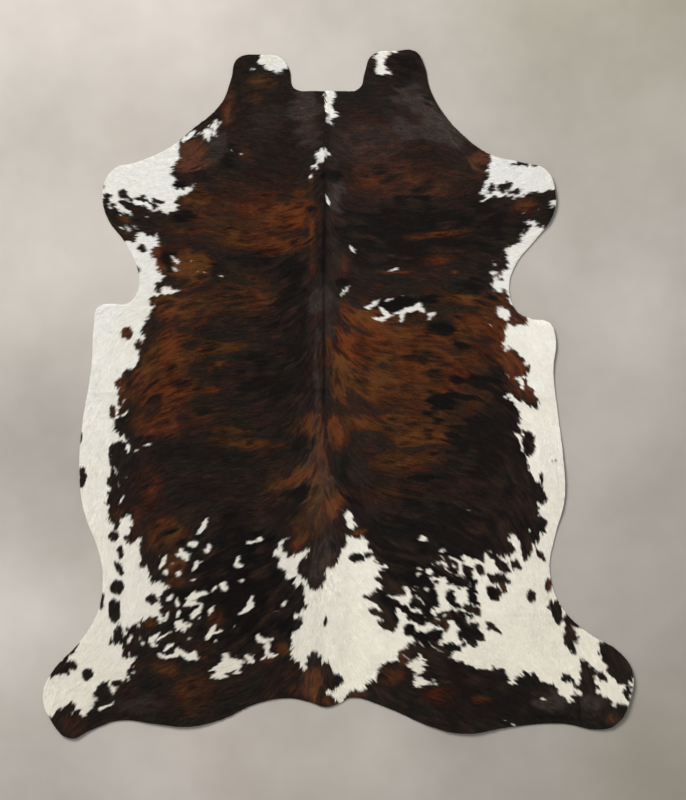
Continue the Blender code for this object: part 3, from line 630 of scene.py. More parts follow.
# ---------------------------------------------------------------- the brindle
# Soft zones of the dark coat in millimetres, each painted over the ones before it.
# Rust goes from 0, near black, to 1, bright orange, and grey mixes in a dull grey: partly the
# coat's own grey-brown, partly a painted sheen.
# Columns: zone, x, y, half length, half width, lean in degrees, rust, grey
BRINDLE = (
    ("left shoulder", -330, 580, 270, 120, 0, 0.52, 0.10),
    ("left shoulder, rust", -200, 595, 130, 60, 0, 0.72, 0.05),
    ("left shoulder, lower medium", -330, 505, 125, 36, 0, 0.66, 0.05),
    ("left shoulder, lower rust", -190, 495, 105, 48, 0, 0.72, 0.05),
    ("left shoulder, orange", -140, 600, 80, 70, 60, 0.84, 0.0),
    ("left shoulder, outer rust", -470, 650, 45, 34, 0, 0.80, 0.05),
    ("left shoulder, streak", -385, 532, 125, 12, 0, 0.74, 0.0),
    ("left shoulder, second streak", -310, 492, 80, 14, 0, 0.64, 0.0),
    ("left shoulder, third streak", -185, 470, 80, 14, 0, 0.66, 0.0),
    ("left ribs, dark band", -275, 437, 95, 20, -8, 0.12, 0.10),
    ("left ribs, dark by the spine", -140, 410, 65, 65, 0, 0.12, 0.05),
    ("left armpit, brown", -590, 462, 56, 48, 0, 0.66, 0.08),
    ("left armpit, orange", -500, 412, 88, 58, 0, 0.86, 0.05),
    ("left armpit, bright", -480, 418, 62, 56, 0, 1.0, 0.03),
    ("left armpit, dark", -560, 440, 22, 40, 0, 0.16, 0.0),
    ("left armpit, upper red", -600, 468, 20, 18, 0, 0.84, 0.15),
    ("left armpit, lower red", -586, 414, 22, 18, 0, 0.80, 0.15),
    ("left ribs, dark", -385, 388, 34, 34, 0, 0.14, 0.05),
    ("left ribs, medium", -330, 318, 160, 66, 0, 0.62, 0.06),
    ("left armpit, medium", -528, 280, 98, 58, 0, 0.88, 0.05),
    ("left ribs, dark column", -140, 175, 190, 62, 90, 0.12, 0.05),
    ("left belly, rust", -560, 110, 95, 95, 0, 0.72, 0.05),
    ("left belly, orange", -545, 150, 60, 50, 45, 0.92, 0.0),
    ("left ribs, orange band", -390, 152, 130, 22, 4, 0.80, 0.0),
    ("left ribs, orange bit", -390, 100, 45, 16, 20, 0.75, 0.0),
    ("left ribs, dark under the band", -275, 120, 85, 18, 0, 0.10, 0.05),
    ("left loin, dark", -200, 40, 110, 42, 0, 0.12, 0.05),
    ("left spine edge, reddish", -86, 560, 145, 15, 90, 0.72, 0.10),
    ("left flank, orange", -575, 0, 135, 55, 0, 0.78, 0.0),
    ("left flank, orange bit", -415, 15, 42, 18, 0, 0.60, 0.0),
    ("left flank, medium", -440, -66, 90, 40, 0, 0.46, 0.05),
    ("left flank, front rust", -640, 62, 46, 40, 0, 0.80, 0.05),
    ("left flank, dark spot", -600, -20, 28, 20, 0, 0.2, 0.05),
    ("left flank, rust", -560, -88, 66, 64, 0, 0.68, 0.05),
    ("left flank, outer rust", -632, -110, 46, 48, 0, 0.72, 0.05),
    ("left flank, dark band", -450, -190, 270, 30, -3, 0.13, 0.10),
    ("left loin, rust", -345, -122, 80, 14, -3, 0.62, 0.0),
    ("left loin, second rust", -290, -163, 115, 24, -3, 0.74, 0.0),
    ("left flank, rear medium", -615, -315, 40, 66, 0, 0.58, 0.05),
    ("left hip, medium", -570, -460, 100, 62, 0, 0.60, 0.05),
    ("left hip, rust", -550, -440, 40, 32, 0, 0.78, 0.05),
    ("left thigh, black", -330, -640, 170, 190, 0, 0.05, 0.03),
    ("left thigh, yellow", -535, -560, 38, 40, 0, 0.90, 0.10),
    ("left thigh, reddish", -525, -617, 50, 18, 0, 0.68, 0.05),
    ("left thigh, outer", -620, -745, 30, 22, 0, 0.7, 0.05),
    ("left buttock, brown", -400, -745, 32, 38, 0, 0.52, 0.05),
    ("left buttock, rust", -440, -845, 32, 28, 0, 0.6, 0.05),
    ("left of the tail", -176, -840, 26, 22, 0, 0.82, 0.05),
    ("left of the tail, brown", -225, -868, 34, 14, 15, 0.62, 0.05),
    ("left of the tail, rear", -128, -972, 34, 18, 0, 0.62, 0.05),
    ("left buttock, rear", -485, -985, 84, 84, 0, 0.52, 0.05),
    ("left buttock, rust arc", -565, -905, 62, 26, -20, 0.62, 0.05),
    ("left hind foot", -875, -1085, 40, 38, 0, 0.5, 0.10),
    ("left hind leg, grey", -660, -1020, 90, 24, 0, 0.10, 0.38),
    ("left loin by the spine", -125, -115, 48, 40, 0, 0.5, 0.10),
    ("left croup by the spine", -165, -300, 90, 80, 0, 0.46, 0.10),
    ("left croup, rust brush", -106, -272, 66, 52, -20, 0.92, 0.22),
    ("left croup, rust", -120, -455, 46, 66, 0, 0.50, 0.12),
    ("left of the spine, grey", -68, 80, 150, 15, 90, 0.22, 0.60),
    ("left of the spine, orange", -96, -100, 46, 24, 80, 0.82, 0.10),
    ("spine strip, pinkish", -60, -215, 160, 28, 90, 1.0, 0.46),
    ("spine, rear, rust", -62, -370, 90, 50, 90, 0.70, 0.26),
    ("croup, left, orange", -118, -452, 40, 28, 0, 0.58, 0.10),
    ("croup, grey-brown", -48, -555, 95, 44, 90, 0.40, 0.55),
    ("left shoulder patch", -475, 775, 62, 70, 0, 0.84, 0.36),
    ("left neck edge, reddish", -362, 925, 70, 24, 80, 0.72, 0.25),
    ("left neck lobe, rust", -250, 1025, 55, 28, 0, 0.6, 0.15),
    ("left neck, dark", -230, 890, 66, 64, 0, 0.22, 0.30),
    ("left neck, rust bit", -270, 970, 32, 22, 0, 0.5, 0.15),
    ("neck, grey-brown", -100, 900, 44, 110, 0, 0.30, 0.70),
    ("left front leg, rust", -697, 570, 26, 14, -30, 0.75, 0.0),
    ("left front leg, brown", -695, 525, 26, 18, -40, 0.5, 0.0),
    ("left front leg, black", -530, 685, 40, 14, 0, 0.0, 0.0),
    ("left shoulder, black by the leg", -505, 582, 44, 24, 0, 0.10, 0.0),
    ("left shoulder, rust bit", -440, 636, 26, 20, 0, 0.85, 0.0),
    ("left belly spot, brown", -693, 200, 36, 36, 0, 0.92, 0.12),
    ("left flank, edge rust", -702, 14, 42, 48, 0, 0.70, 0.08),
    ("left flank spot, reddish", -738, -60, 14, 28, 0, 0.66, 0.15),
    ("left flank, low rust", -690, -400, 62, 34, 0, 0.58, 0.08),
    ("left shoulder, black", -350, 790, 26, 46, 0, 0.0, 0.05),
    ("left shoulder, grey", -385, 828, 26, 34, 0, 0.2, 0.60),
    ("left shoulder, brown", -292, 800, 40, 44, 0, 0.42, 0.15),
    ("left shoulder, black bit", -450, 720, 34, 20, 0, 0.0, 0.15),
    ("right neck, dusty", 120, 820, 130, 100, 0, 0.44, 0.36),
    ("right neck, darker by the crest", 100, 952, 100, 50, 0, 0.12, 0.16),
    ("right neck, grey", 310, 900, 125, 80, -35, 0.32, 0.76),
    ("right neck lobe, black", 200, 1075, 46, 42, 0, 0.0, 0.05),
    ("right neck, black edge", 330, 990, 60, 40, -60, 0.1, 0.2),
    ("right shoulder, red", 465, 755, 42, 38, 0, 0.92, 0.30),
    ("right shoulder, brown", 210, 695, 210, 66, 0, 0.60, 0.14),
    ("right shoulder, rusty", 110, 700, 70, 40, 0, 0.68, 0.12),
    ("right ribs, black", 260, 520, 260, 100, 0, 0.08, 0.05),
    ("right ribs, bright streak", 330, 525, 112, 12, 6, 0.66, 0.0),
    ("right front leg, orange", 615, 620, 48, 22, 0, 0.78, 0.05),
    ("right ribs, thin streak", 195, 400, 78, 9, 0, 0.78, 0.0),
    ("right ribs, rust", 330, 440, 54, 22, 10, 0.56, 0.0),
    ("right ribs, rust bit", 380, 400, 22, 9, 0, 0.7, 0.0),
    ("spine, reddish", 20, 420, 52, 20, 90, 0.5, 0.15),
    ("right side, rust", 285, 60, 320, 265, 0, 0.64, 0.0),
    ("right belly, rust", 560, 190, 90, 140, 0, 0.72, 0.0),
    ("right ribs, rust behind the chain", 440, 235, 130, 62, 0, 0.76, 0.0),
    ("right ribs, speckled rust", 430, 312, 62, 34, 0, 0.78, 0.0),
    ("right ribs, black by the armpit", 435, 365, 46, 26, 0, 0.04, 0.05),
    ("right of the spine, orange", 10, 110, 160, 44, 88, 0.86, 0.05),
    ("right of the spine, bright", 36, 178, 70, 26, 88, 1.0, 0.0),
    ("right of the spine, streaked", 66, -92, 66, 36, -20, 0.80, 0.0),
    ("right of the spine, lower orange", -12, -86, 52, 26, 90, 0.88, 0.05),
    ("right of the spine, dark, rear", 22, -245, 75, 18, 90, 0.15, 0.05),
    ("right of the spine, rust, rear", 4, -345, 36, 26, 90, 0.74, 0.10),
    ("right side, orange", 100, 30, 110, 50, 4, 0.80, 0.0),
    ("right side, orange, middle", 240, 130, 170, 60, 4, 0.76, 0.0),
    ("right side, orange by the chain", 98, 246, 76, 40, 0, 0.96, 0.0),
    ("right side, second orange", 290, -148, 120, 36, 4, 0.90, 0.0),
    ("right side, third orange", 210, -225, 120, 34, 3, 0.74, 0.0),
    ("right side, upper orange", 190, -82, 120, 26, -4, 0.78, 0.0),
    ("right side, fourth orange", 180, 196, 125, 28, 6, 0.92, 0.0),
    ("right ribs, dark spot", 346, 226, 44, 27, 5, 0.06, 0.0),
    ("right ribs, black above the chain", 215, 300, 84, 20, 6, 0.0, 0.0),
    ("right ribs, dark streak", 402, 150, 32, 18, 10, 0.18, 0.0),
    ("right flank, dark", 518, 66, 30, 34, 0, 0.10, 0.05),
    ("right flank, dark streak", 452, 42, 66, 34, 0, 0.10, 0.0),
    ("right side, dark by the spine", 84, -190, 46, 15, 3, 0.48, 0.0),
    ("right side, dark streak", 366, -24, 70, 32, 5, 0.06, 0.0),
    ("right side, dark bit", 275, -280, 30, 15, 0, 0.1, 0.0),
    ("right flank, dark, rear", 510, -170, 140, 150, 0, 0.12, 0.05),
    ("right loin, medium", 190, -325, 155, 34, 3, 0.44, 0.0),
    ("right hip, black", 350, -465, 265, 88, 0, 0.08, 0.05),
    ("croup spot, orange under it", 58, -457, 30, 10, 15, 0.85, 0.0),
    ("right thigh, black", 330, -690, 150, 130, 0, 0.05, 0.0),
    ("right buttock, black", 480, -990, 330, 110, 0, 0.06, 0.10),
    ("right buttock, brown", 400, -950, 80, 40, 0, 0.24, 0.05),
    ("right buttock, rust", 325, -992, 62, 34, 0, 0.50, 0.0),
    ("right buttock, orange bit", 465, -1003, 30, 12, 0, 0.62, 0.0),
    ("right of the tail, reddish", 172, -928, 48, 26, 0, 0.64, 0.05),
    ("right of the tail, brown", 58, -985, 36, 14, 0, 0.58, 0.15),
    ("right hind leg, grey", 700, -1005, 44, 36, 0, 0.08, 0.70),
    ("right hind foot, grey", 835, -1008, 46, 24, 10, 0.08, 0.62),
    ("right hind foot, rust", 903, -1064, 20, 18, 0, 0.55, 0.25),
    ("tail, tan", -80, -955, 72, 30, 90, 1.0, 0.28),
    ("tail, dark dome", -80, -862, 26, 24, 90, 0.14, 0.40),
    ("spine, grey", -6, 655, 44, 26, 90, 0.05, 0.75),
    # painted shadow: the next two black zones on the spine stand for the shade in dimples of the
    # spine fold
    ("spine, black", -14, 714, 28, 18, 0, 0.0, 0.0),
    ("spine, second black", 2, 372, 46, 17, 0, 0.0, 0.0),
    ("spine, second grey", -50, 290, 70, 40, 90, 0.15, 0.60),
    ("left of the spine, reddish", -84, 420, 40, 16, 90, 0.55, 0.10),
    ("tail, brown", -35, -915, 36, 16, 90, 0.42, 0.15),
    ("tail, rear", -30, -1004, 28, 17, 0, 0.80, 0.10),
    ("tail, dark", -2, -940, 20, 22, 0, 0.04, 0.10),
    ("thigh, dusty brown", 320, -745, 26, 20, 0, 0.45, 0.30),
    ("thigh, red-brown", 357, -750, 16, 36, 0, 0.6, 0.10),
    ("thigh, red bit", 540, -636, 12, 18, 0, 0.7, 0.20),
    ("buttock, red-brown", 215, -865, 18, 30, 0, 0.6, 0.15),
    ("belly, reddish", 592, 252, 38, 34, 0, 0.80, 0.20),
    ("belly, reddish edge", 578, 96, 62, 34, -50, 0.84, 0.10),
    ("belly, second reddish edge", 608, 22, 52, 24, -50, 0.78, 0.15),
    ("right armpit, reddish", 532, 398, 30, 12, 20, 0.72, 0.15),
    ("right armpit, lower rust", 535, 328, 46, 24, 0, 0.74, 0.05),
    ("foot, reddish corner", 693, -630, 16, 30, 0, 0.6, 0.15),
    ("spine strip, tan", -66, -250, 115, 32, 90, 0.92, 0.40),
    ("spine strip, upper tan", -74, -102, 42, 28, 90, 0.92, 0.28),
    ("left of the spine, dark lens", -122, -152, 46, 24, 80, 0.10, 0.05),
    ("left croup, rust branch", -162, -286, 76, 18, 22, 0.82, 0.05),
    ("left croup, dark under it", -142, -330, 52, 15, 22, 0.12, 0.05),
    ("left croup, second branch", -105, -347, 42, 9, 30, 0.74, 0.20),
    ("left croup, dark, rear", -180, -374, 62, 24, 10, 0.15, 0.08),
    ("spine, rear, bright", -22, -374, 42, 22, 90, 0.92, 0.15),
    ("right of the spine, rust", 2, -125, 78, 34, 90, 0.84, 0.03),
    ("croup, left, rear rust", -125, -484, 52, 22, 30, 0.84, 0.05),
)

# How red the brindle is in soft zones in millimetres: 1 is reddest, and -1 is yellowest.
# Columns: zone, x, y, half length, half width, red
HUES = (
    ("left shoulder", -160, 560, 130, 110, 0.7),
    ("left armpit", -470, 420, 90, 60, -0.4),
    ("left shoulder, outer", -450, 640, 80, 50, -0.5),
    ("left ribs", -390, 150, 160, 60, -0.5),
    ("left loin", -320, -140, 140, 60, -0.7),
    ("left flank", -600, -40, 90, 110, 0.3),
    ("left flank, rear", -620, -330, 90, 90, 0.6),
    ("left croup", -200, -290, 80, 60, -0.6),
    ("croup", -100, -430, 80, 80, -0.9),
    ("left buttock", -480, -960, 130, 90, -0.5),
    ("neck", 150, 800, 240, 140, 0.3),
    ("right of the spine", 36, 170, 50, 90, 0.6),
    ("right side", 160, 30, 150, 70, -0.4),
    ("right side, rear", 200, -160, 180, 110, -0.2),
    ("belly", 590, 80, 60, 170, 0.6),
    ("right buttock", 330, -980, 90, 60, 0.6),
    ("left armpit, edge", -595, 440, 30, 60, 0.6),
    ("tail", -80, -950, 60, 90, -0.2),
)

# Folds that show in the hair, in millimetres.
# Columns: fold, points (x, y), half width, height, how much darker the hair is, as painted shade
# (below 0, lighter, as a painted highlight on a crest)
CREASES = (
    ("spine", ((-38, 985), (-40, 800), (-44, 600), (-47, 400), (-46, 200), (-46, 0), (-45, -90)),
     4, -2.0, 0.6),
    ("spine, middle fold", ((-92, 24), (-60, 21), (-28, 18)), 6, -1.2, 0.35),
    ("middle, right flank", ((500, -4), (620, -8), (738, -12)), 5, -1.2, 0.10),
    ("rear, right flank", ((560, -378), (660, -375), (760, -374)), 6, 1.0, -0.03),
    ("thigh, right", ((520, -722), (640, -720), (760, -716)), 5, -1.0, 0.06),
    ("middle, left flank", ((-850, 6), (-740, 4), (-640, 6)), 5, -1.0, 0.08),
    ("right hind foot, across", ((610, -1052), (720, -1060), (860, -1066)), 6, -2.0, 0.40),
    ("right hind foot, down", ((786, -975), (788, -1020), (790, -1066)), 5, -2.0, 0.50),
    ("right hind foot, crest", ((786, -1062), (830, -1050), (915, -1020)), 6, 2.0, -0.45),
    ("left hind leg, across", ((-730, -1008), (-640, -1010), (-560, -1006)), 7, 1.6, -0.30),
)

# Colours, linear. Columns of the ramp: rust, colour
BRINDLE_RAMP = (
    (0.0, (0.0052, 0.0043, 0.0040)),
    (0.16, (0.0082, 0.0064, 0.0056)),
    (0.34, (0.0165, 0.0090, 0.0064)),
    (0.62, (0.054, 0.0178, 0.0070)),
    (1.0, (0.130, 0.0415, 0.0112)),
)
REDDER = (1.10, 0.80, 0.78)  # what the reddest hair is multiplied by
YELLOWER = (0.90, 1.16, 0.98)  # and the yellowest
# the grey that the grey field mixes in: the coat's own grey-brown, and a painted sheen
GREY_HAIR_AND_SHEEN = (0.066, 0.050, 0.043)
WHITE_HAIR = (0.80, 0.795, 0.765)
CREAM_HAIR = (0.785, 0.742, 0.635)
PLAIN_RUST, PLAIN_GREY = 0.22, 0.12  # of the dark coat outside every zone
WHITE_FROM, WHITE_FADE = 0.0008, 0.0016  # depth where white begins, and how softly, in metres
SKIN_SHADE = 0.55  # painted shade of the skin between the hairs, which lies in their shadow
SUEDE_DEEP, SUEDE_PALE = (0.42, 0.36, 0.29), (0.50, 0.44, 0.37)
CUT_DEEP, CUT_PALE = (0.32, 0.27, 0.22), (0.46, 0.40, 0.33)
TUFT = 0.021  # how far tufts carry the edge of a patch along the hair, in all
RAGGED = 0.011  # and across the hair
MARK_SHARE = 0.45  # of both, for the small marks

FLOOR_A = (0.365, 0.335, 0.300)
FLOOR_B = (0.455, 0.425, 0.388)
FLOOR_FAR = (0.38, 0.355, 0.325)  # well away from the rug
FLOOR_HALF = 150.0
FLOOR_DROP = 0.0005  # below the hide
# Soft tones in the floor, in metres. Columns: x, y, radius, tint at the middle
FLOOR_TONES = (
    (1.10, 1.30, 0.85, (0.80, 0.81, 0.73)),
    (0.62, 1.28, 0.35, (0.90, 0.90, 0.86)),
    (-0.42, 1.26, 0.38, (1.11, 1.11, 1.12)),
    (-1.06, 1.30, 0.35, (1.08, 1.08, 1.12)),
    (-1.05, 0.87, 0.36, (0.84, 0.85, 0.85)),
    (-1.02, -0.16, 0.62, (0.79, 0.78, 0.79)),
    (-1.06, -0.76, 0.40, (1.24, 1.24, 1.26)),
    (-0.42, -1.22, 0.46, (1.20, 1.18, 1.18)),
    (0.06, -1.22, 0.42, (1.12, 1.12, 1.10)),
    (1.00, 0.30, 0.38, (1.19, 1.18, 1.20)),
    (1.10, -1.28, 0.60, (0.88, 0.87, 0.79)),
)
WORLD_COLOUR = (0.97, 0.98, 1.0, 1)
WORLD_STRENGTH = 0.47
# The one soft lamp
LAMP_PLACE = (-5.4, 6.9, 6.4)
LAMP_SIZE = 4.6
LAMP_POWER = 1540  # watts
LAMP_COLOUR = (1.0, 0.98, 0.95)

CAMERA_X, CAMERA_Y, CAMERA_HEIGHT = 0.016, -0.020, 6.0
SENSOR = 36  # millimetres
FRAME_HEIGHT = 2.628  # of the floor, from the top of the view to its bottom

# ---------------------------------------------------------------- the grid and its fields
XS = GRID_X + CELL * np.arange(COLUMNS)
YS = GRID_Y + CELL * np.arange(ROWS)
X, Y = np.meshgrid(XS, YS)


def read(field, x, y):
    """The value of a field of the grid at any places."""
    u = np.clip((x - GRID_X) / CELL, 0, COLUMNS - 1.001)
    v = np.clip((y - GRID_Y) / CELL, 0, ROWS - 1.001)
    i, j = u.astype(int), v.astype(int)
    u, v = u - i, v - j
    low = field[j, i] * (1 - u) + field[j, i + 1] * u
    high = field[j + 1, i] * (1 - u) + field[j + 1, i + 1] * u
    return low * (1 - v) + high * v


def window(x0, x1, y0, y1):
    """The part of the grid that covers a rectangle, as an index."""
    columns = [int(np.clip((x - GRID_X) / CELL, 0, COLUMNS)) for x in (x0, x1 + CELL)]
    rows = [int(np.clip((y - GRID_Y) / CELL, 0, ROWS)) for y in (y0, y1 + CELL)]
    return slice(*rows), slice(*columns)


def window_round(points, spread):
    """The part of the grid that covers a few places and a margin round them, as an index."""
    xs, ys = [point[0] for point in points], [point[1] for point in points]
    return window(min(xs) - spread, max(xs) + spread, min(ys) - spread, max(ys) + spread)


def metres(row):
    """A row of millimetres in metres."""
    return tuple(value / 1000 for value in row)


def refine(coarse, step):
    """A field known at every so many cells, filled in between them."""
    u, v = np.arange(COLUMNS) / step, np.arange(ROWS) / step
    rows = np.array([np.interp(u, np.arange(coarse.shape[1]), row) for row in coarse])
    return np.array([np.interp(v, np.arange(coarse.shape[0]), col) for col in rows.T]).T


def staggered(step):
    """Places all over the grid's rectangle, in rows that are set off by half a step."""
    xs, ys = np.arange(GRID_X, -GRID_X, step), np.arange(GRID_Y, -GRID_Y, step * ROW_STEP)
    x, y = np.meshgrid(xs, ys)
    x = x + 0.5 * step * (np.arange(len(ys)) % 2)[:, None]
    return x.ravel(), y.ravel()


def white_noise(rng):
    """A field of independent random numbers."""
    return rng.standard_normal((ROWS, COLUMNS))


def smoothstep(x):
    """0 below 0 and 1 above 1, with a smooth rise between."""
    x = np.clip(x, 0, 1)
    return x * x * (3 - 2 * x)


def blur(field, size):
    """A field smoothed over a size in cells, by three passes of a running mean."""
    half = max(1, int(round(size)))
    for axis in (0, 1):
        for _ in range(3):
            pad = [(0, 0), (0, 0)]
            pad[axis] = (half + 1, half)
            total = np.cumsum(np.pad(field, pad, mode="edge"), axis=axis)
            n = field.shape[axis]
            upper = np.take(total, np.arange(2 * half + 1, 2 * half + 1 + n), axis=axis)
            lower = np.take(total, np.arange(n), axis=axis)
            field = (upper - lower) / (2 * half + 1)
    return field


def even(field):
    """A noise field spread evenly from 0 to 1."""
    z = (field - field.mean()) / field.std()
    return 1 / (1 + np.exp(-1.702 * z))


def along_stretch(x, y, a, b):
    """Distance from places to a straight stretch, and how far along it each is nearest."""
    dx, dy = b[0] - a[0], b[1] - a[1]
    t = np.clip(((x - a[0]) * dx + (y - a[1]) * dy) / max(dx * dx + dy * dy, 1e-12), 0, 1)
    return np.hypot(x - a[0] - t * dx, y - a[1] - t * dy), t


def depth_in_loop(points):
    """How deep each cell lies inside a closed loop, negative outside it, up to the reach."""
    distance = np.full((ROWS, COLUMNS), REACH)
    toggles = np.zeros((ROWS, COLUMNS), bool)
    for a, b in zip(points, points[1:] + points[:1]):
        near = window_round((a, b), REACH)
        distance[near] = np.minimum(distance[near], along_stretch(X[near], Y[near], a, b)[0])
        low, high = sorted((a[1], b[1]))
        rows = np.arange(
            max(0, math.ceil((low - GRID_Y) / CELL)), min(ROWS, math.ceil((high - GRID_Y) / CELL)))
        if len(rows):
            x = a[0] + (YS[rows] - a[1]) * (b[0] - a[0]) / (b[1] - a[1])
            columns = np.ceil((x - GRID_X) / CELL).astype(int)
            toggles[rows, np.clip(columns, 0, COLUMNS - 1)] ^= True
    inside = np.logical_xor.accumulate(toggles, axis=1)
    return np.where(inside, distance, -distance)


def stroke(chain):
    """Where a stroke's paint goes, and how deep each cell lies in it; (x, y, radius) in mm."""
    chain = [metres(point) for point in chain]
    near = window_round(chain, REACH + max(point[2] for point in chain))
    depth = np.full(X[near].shape, -REACH)
    for a, b in zip(chain, chain[1:]):
        distance, t = along_stretch(X[near], Y[near], a, b)
        depth = np.maximum(depth, a[2] + t * (b[2] - a[2]) - distance)
    return near, depth


def spot(x, y, width, height):
    """Where a spot's paint goes, and how deep each cell lies in it; sizes in mm."""
    x, y, rx, ry = metres((x, y, width / 2, height / 2))
    near = window(x - rx - REACH, x + rx + REACH, y - ry - REACH, y + ry + REACH)
    far = np.hypot((X[near] - x) / rx, (Y[near] - y) / ry)
    return near, np.clip((1 - far) * min(rx, ry), -REACH, REACH)


def hair_direction():
    """The way the hair points all over the grid, as two fields."""
    off_spine = np.abs(X[::GUIDE_STEP, ::GUIDE_STEP] - SPINE_X)
    y = Y[::GUIDE_STEP, ::GUIDE_STEP]
    weight = 0
    total = 0
    for _, guide_off, guide_y, angle in HAIR_GUIDES:
        # a guide reaches further along the hide than across it
        far = (off_spine - guide_off) ** 2 + (0.6 * (y - guide_y)) ** 2
        pull = (far + 0.0003) ** -2.4
        weight = weight + pull
        total = total + pull * angle
    angle = np.radians(blur(refine(total / weight, GUIDE_STEP), 6))
    side = np.tanh((X - SPINE_X) / PARTING)
    dx, dy = np.sin(angle) * side, -np.cos(angle)
    length = np.maximum(np.hypot(dx, dy), 1e-6)
    return dx / length, dy / length


def streaks(dx, dy, rng):
    """Noise drawn out along the hair: fine, middle and broad, each spread from 0 to 1."""
    scales = ((0, 3), (1, 6), (3, 10))  # width in cells, steps to each side
    noises = []
    for width, _ in scales:
        noise = white_noise(rng)
        noises.append(blur(noise, width) if width else noise)
    totals = [noise.copy() for noise in noises]
    for way in (1, -1):
        x, y = X.copy(), Y.copy()
        for k in range(1, max(n for _, n in scales) + 1):
            i = np.clip(((x - GRID_X) / CELL + 0.5).astype(int), 0, COLUMNS - 1)
            j = np.clip(((y - GRID_Y) / CELL + 0.5).astype(int), 0, ROWS - 1)
            x = x + way * STREAK_STEP * dx[j, i]
            y = y + way * STREAK_STEP * dy[j, i]
            for (_, reach), noise, total in zip(scales, noises, totals):
                if k <= reach:
                    total += read(noise, x, y) * (1 - k / (reach + 1))
    return [even(total) for total in totals]


def soft_oval(x, y, half_length, half_width, lean, wander):
    """Which part of the grid a soft leaning oval reaches, and how much it covers there."""
    lean = math.radians(lean)
    x, y, half_length, half_width = metres((x, y, half_length, half_width))
    spread = 1.6 * max(half_length, half_width)
    near = window(x - spread, x + spread, y - spread, y + spread)
    u, v = X[near] - x, Y[near] - y
    along = (u * math.cos(lean) + v * math.sin(lean)) / half_length
    across = (v * math.cos(lean) - u * math.sin(lean)) / half_width
    far = np.hypot(along, across) + wander[near]
    return near, 1 - smoothstep((far - 0.55) / 0.8)


def paint_brindle(fine, middle, broad, blotch):
    """The rust, the grey (partly the coat's own, partly a painted sheen) and the hue of the dark
    coat.
    """
    rust = np.full((ROWS, COLUMNS), PLAIN_RUST)
    grey = np.full((ROWS, COLUMNS), PLAIN_GREY)
    # the zones' own edges waver along the hair
    ragged = (0.9 * (broad - 0.5) + 0.7 * (middle - 0.5) + 0.4 * (fine - 0.5)
              + 0.5 * (blotch - 0.5))
    for _, x, y, half_length, half_width, lean, zone_rust, zone_grey in BRINDLE:
        near, cover = soft_oval(x, y, half_length, half_width, lean, ragged)
        rust[near] += cover * (zone_rust - rust[near])
        grey[near] += cover * (zone_grey - grey[near])
    streak = (0.42 * (fine - 0.5) + 0.42 * (middle - 0.5) + 0.34 * (broad - 0.5)
              + 0.42 * (blotch - 0.5))
    rust = rust + streak * (0.14 + rust)
    grey = grey * (0.7 + 0.6 * fine)
    # redder and yellower patches a hand wide, and over them the zones that have a hue of their own
    hue = 1.4 * (even(blur(np.roll(blotch, (211, 137), (0, 1)), 8)) - 0.5)
    for _, x, y, half_length, half_width, zone_hue in HUES:
        near, cover = soft_oval(x, y, half_length, half_width, 0, ragged)
        hue[near] += cover * (zone_hue - 0.6 * hue[near])
    return np.clip(rust, 0, 1), np.clip(grey, 0, 1), np.clip(hue, -1, 1)


def paint_coat():
    """How deep each cell lies in the white patches, in the dark marks and in the white marks."""
    coat = np.full((ROWS, COLUMNS), -REACH)
    for _, kind, points in PATCHES:
        depth = depth_in_loop([metres(point) for point in points])
        if kind == "white":
            coat = np.maximum(coat, depth)
        else:
            coat = np.minimum(coat, -depth)
    fields = [coat]
    for strokes, spots in ((DARK_STROKES, DARK_SPOTS), (WHITE_STROKES, WHITE_SPOTS)):
        marks = np.full((ROWS, COLUMNS), -REACH)
        for near, depth in [stroke(chain) for chain in strokes] + [spot(*row) for row in spots]:
            marks[near] = np.maximum(marks[near], depth)
        fields.append(marks)
    return fields


def carry_edges(depths, dx, dy, noises, rng):
    """How deep each cell lies in white coat, with its edges carried along the hair by tufts."""
    fine, middle, _, tangle, _ = noises
    along = TUFT * (even(0.9 * fine + 0.7 * middle + 0.3 * tangle) - 0.5)
    across = RAGGED * (even(blur(white_noise(rng), 1)) - 0.5)
    carried = []
    for depth, share in zip(depths, (1.0, MARK_SHARE, MARK_SHARE)):
        u, v = share * along, share * across
        carried.append(read(depth, X - dx * u + dy * v, Y - dy * u - dx * v))
    patches, dark_marks, white_marks = carried
    return np.maximum(np.minimum(patches, -dark_marks), white_marks)


def paint_hide(dx, dy, rng):
    """Five fields of noise, and the coat's own fields, all over the grid."""
    fine, middle, broad = streaks(dx, dy, rng)
    tangle = even(blur(white_noise(rng), 3))
    ruffle = even(blur(white_noise(rng), 2))
    blotch = even(blur(white_noise(rng), 5))
    noises = fine, middle, broad, tangle, ruffle
    rust, grey, hue = paint_brindle(fine, middle, broad, blotch)
    depth = carry_edges(paint_coat(), dx, dy, noises, rng)
    cream = np.clip(0.35 - 0.6 * Y + 0.12 * X, 0, 1)  # the white yellows towards the tail
    return noises, {"depth": depth, "rust": rust, "grey": grey, "hue": hue, "cream": cream}


# ---------------------------------------------------------------- the hide's own shape
def signed_area(loop):
    """The area inside a closed loop, positive when it runs anticlockwise."""
    after = np.roll(loop, -1, 0)
    return 0.5 * np.sum(loop[:, 0] * after[:, 1] - after[:, 0] * loop[:, 1])


def lower_edge(mesh):
    """The corners of the CAD hide where its wall meets its underside, in order round it."""
    bm = bmesh.new()
    bm.from_mesh(mesh)
    bmesh.ops.remove_doubles(bm, verts=bm.verts, dist=1e-5)
    bm.normal_update()
    after = {}
    for edge in bm.edges:
        if len(edge.link_faces) != 2:
            continue
        wall, under = sorted(edge.link_faces, key=lambda f: abs(f.normal.z))
        if abs(wall.normal.z) < 0.5 and under.normal.z < -0.5:
            a, b = edge.verts
            after.setdefault(a.index, []).append(b.index)
            after.setdefault(b.index, []).append(a.index)
    places = {v.index: (v.co.x, v.co.y) for v in bm.verts}
    bm.free()
    start = min(after)
    loop, previous, here = [start], None, start
    while True:
        onward = [n for n in after[here] if n != previous]
        previous, here = here, onward[0]
        if here == start:
            break
        loop.append(here)
    return [places[index] for index in loop]


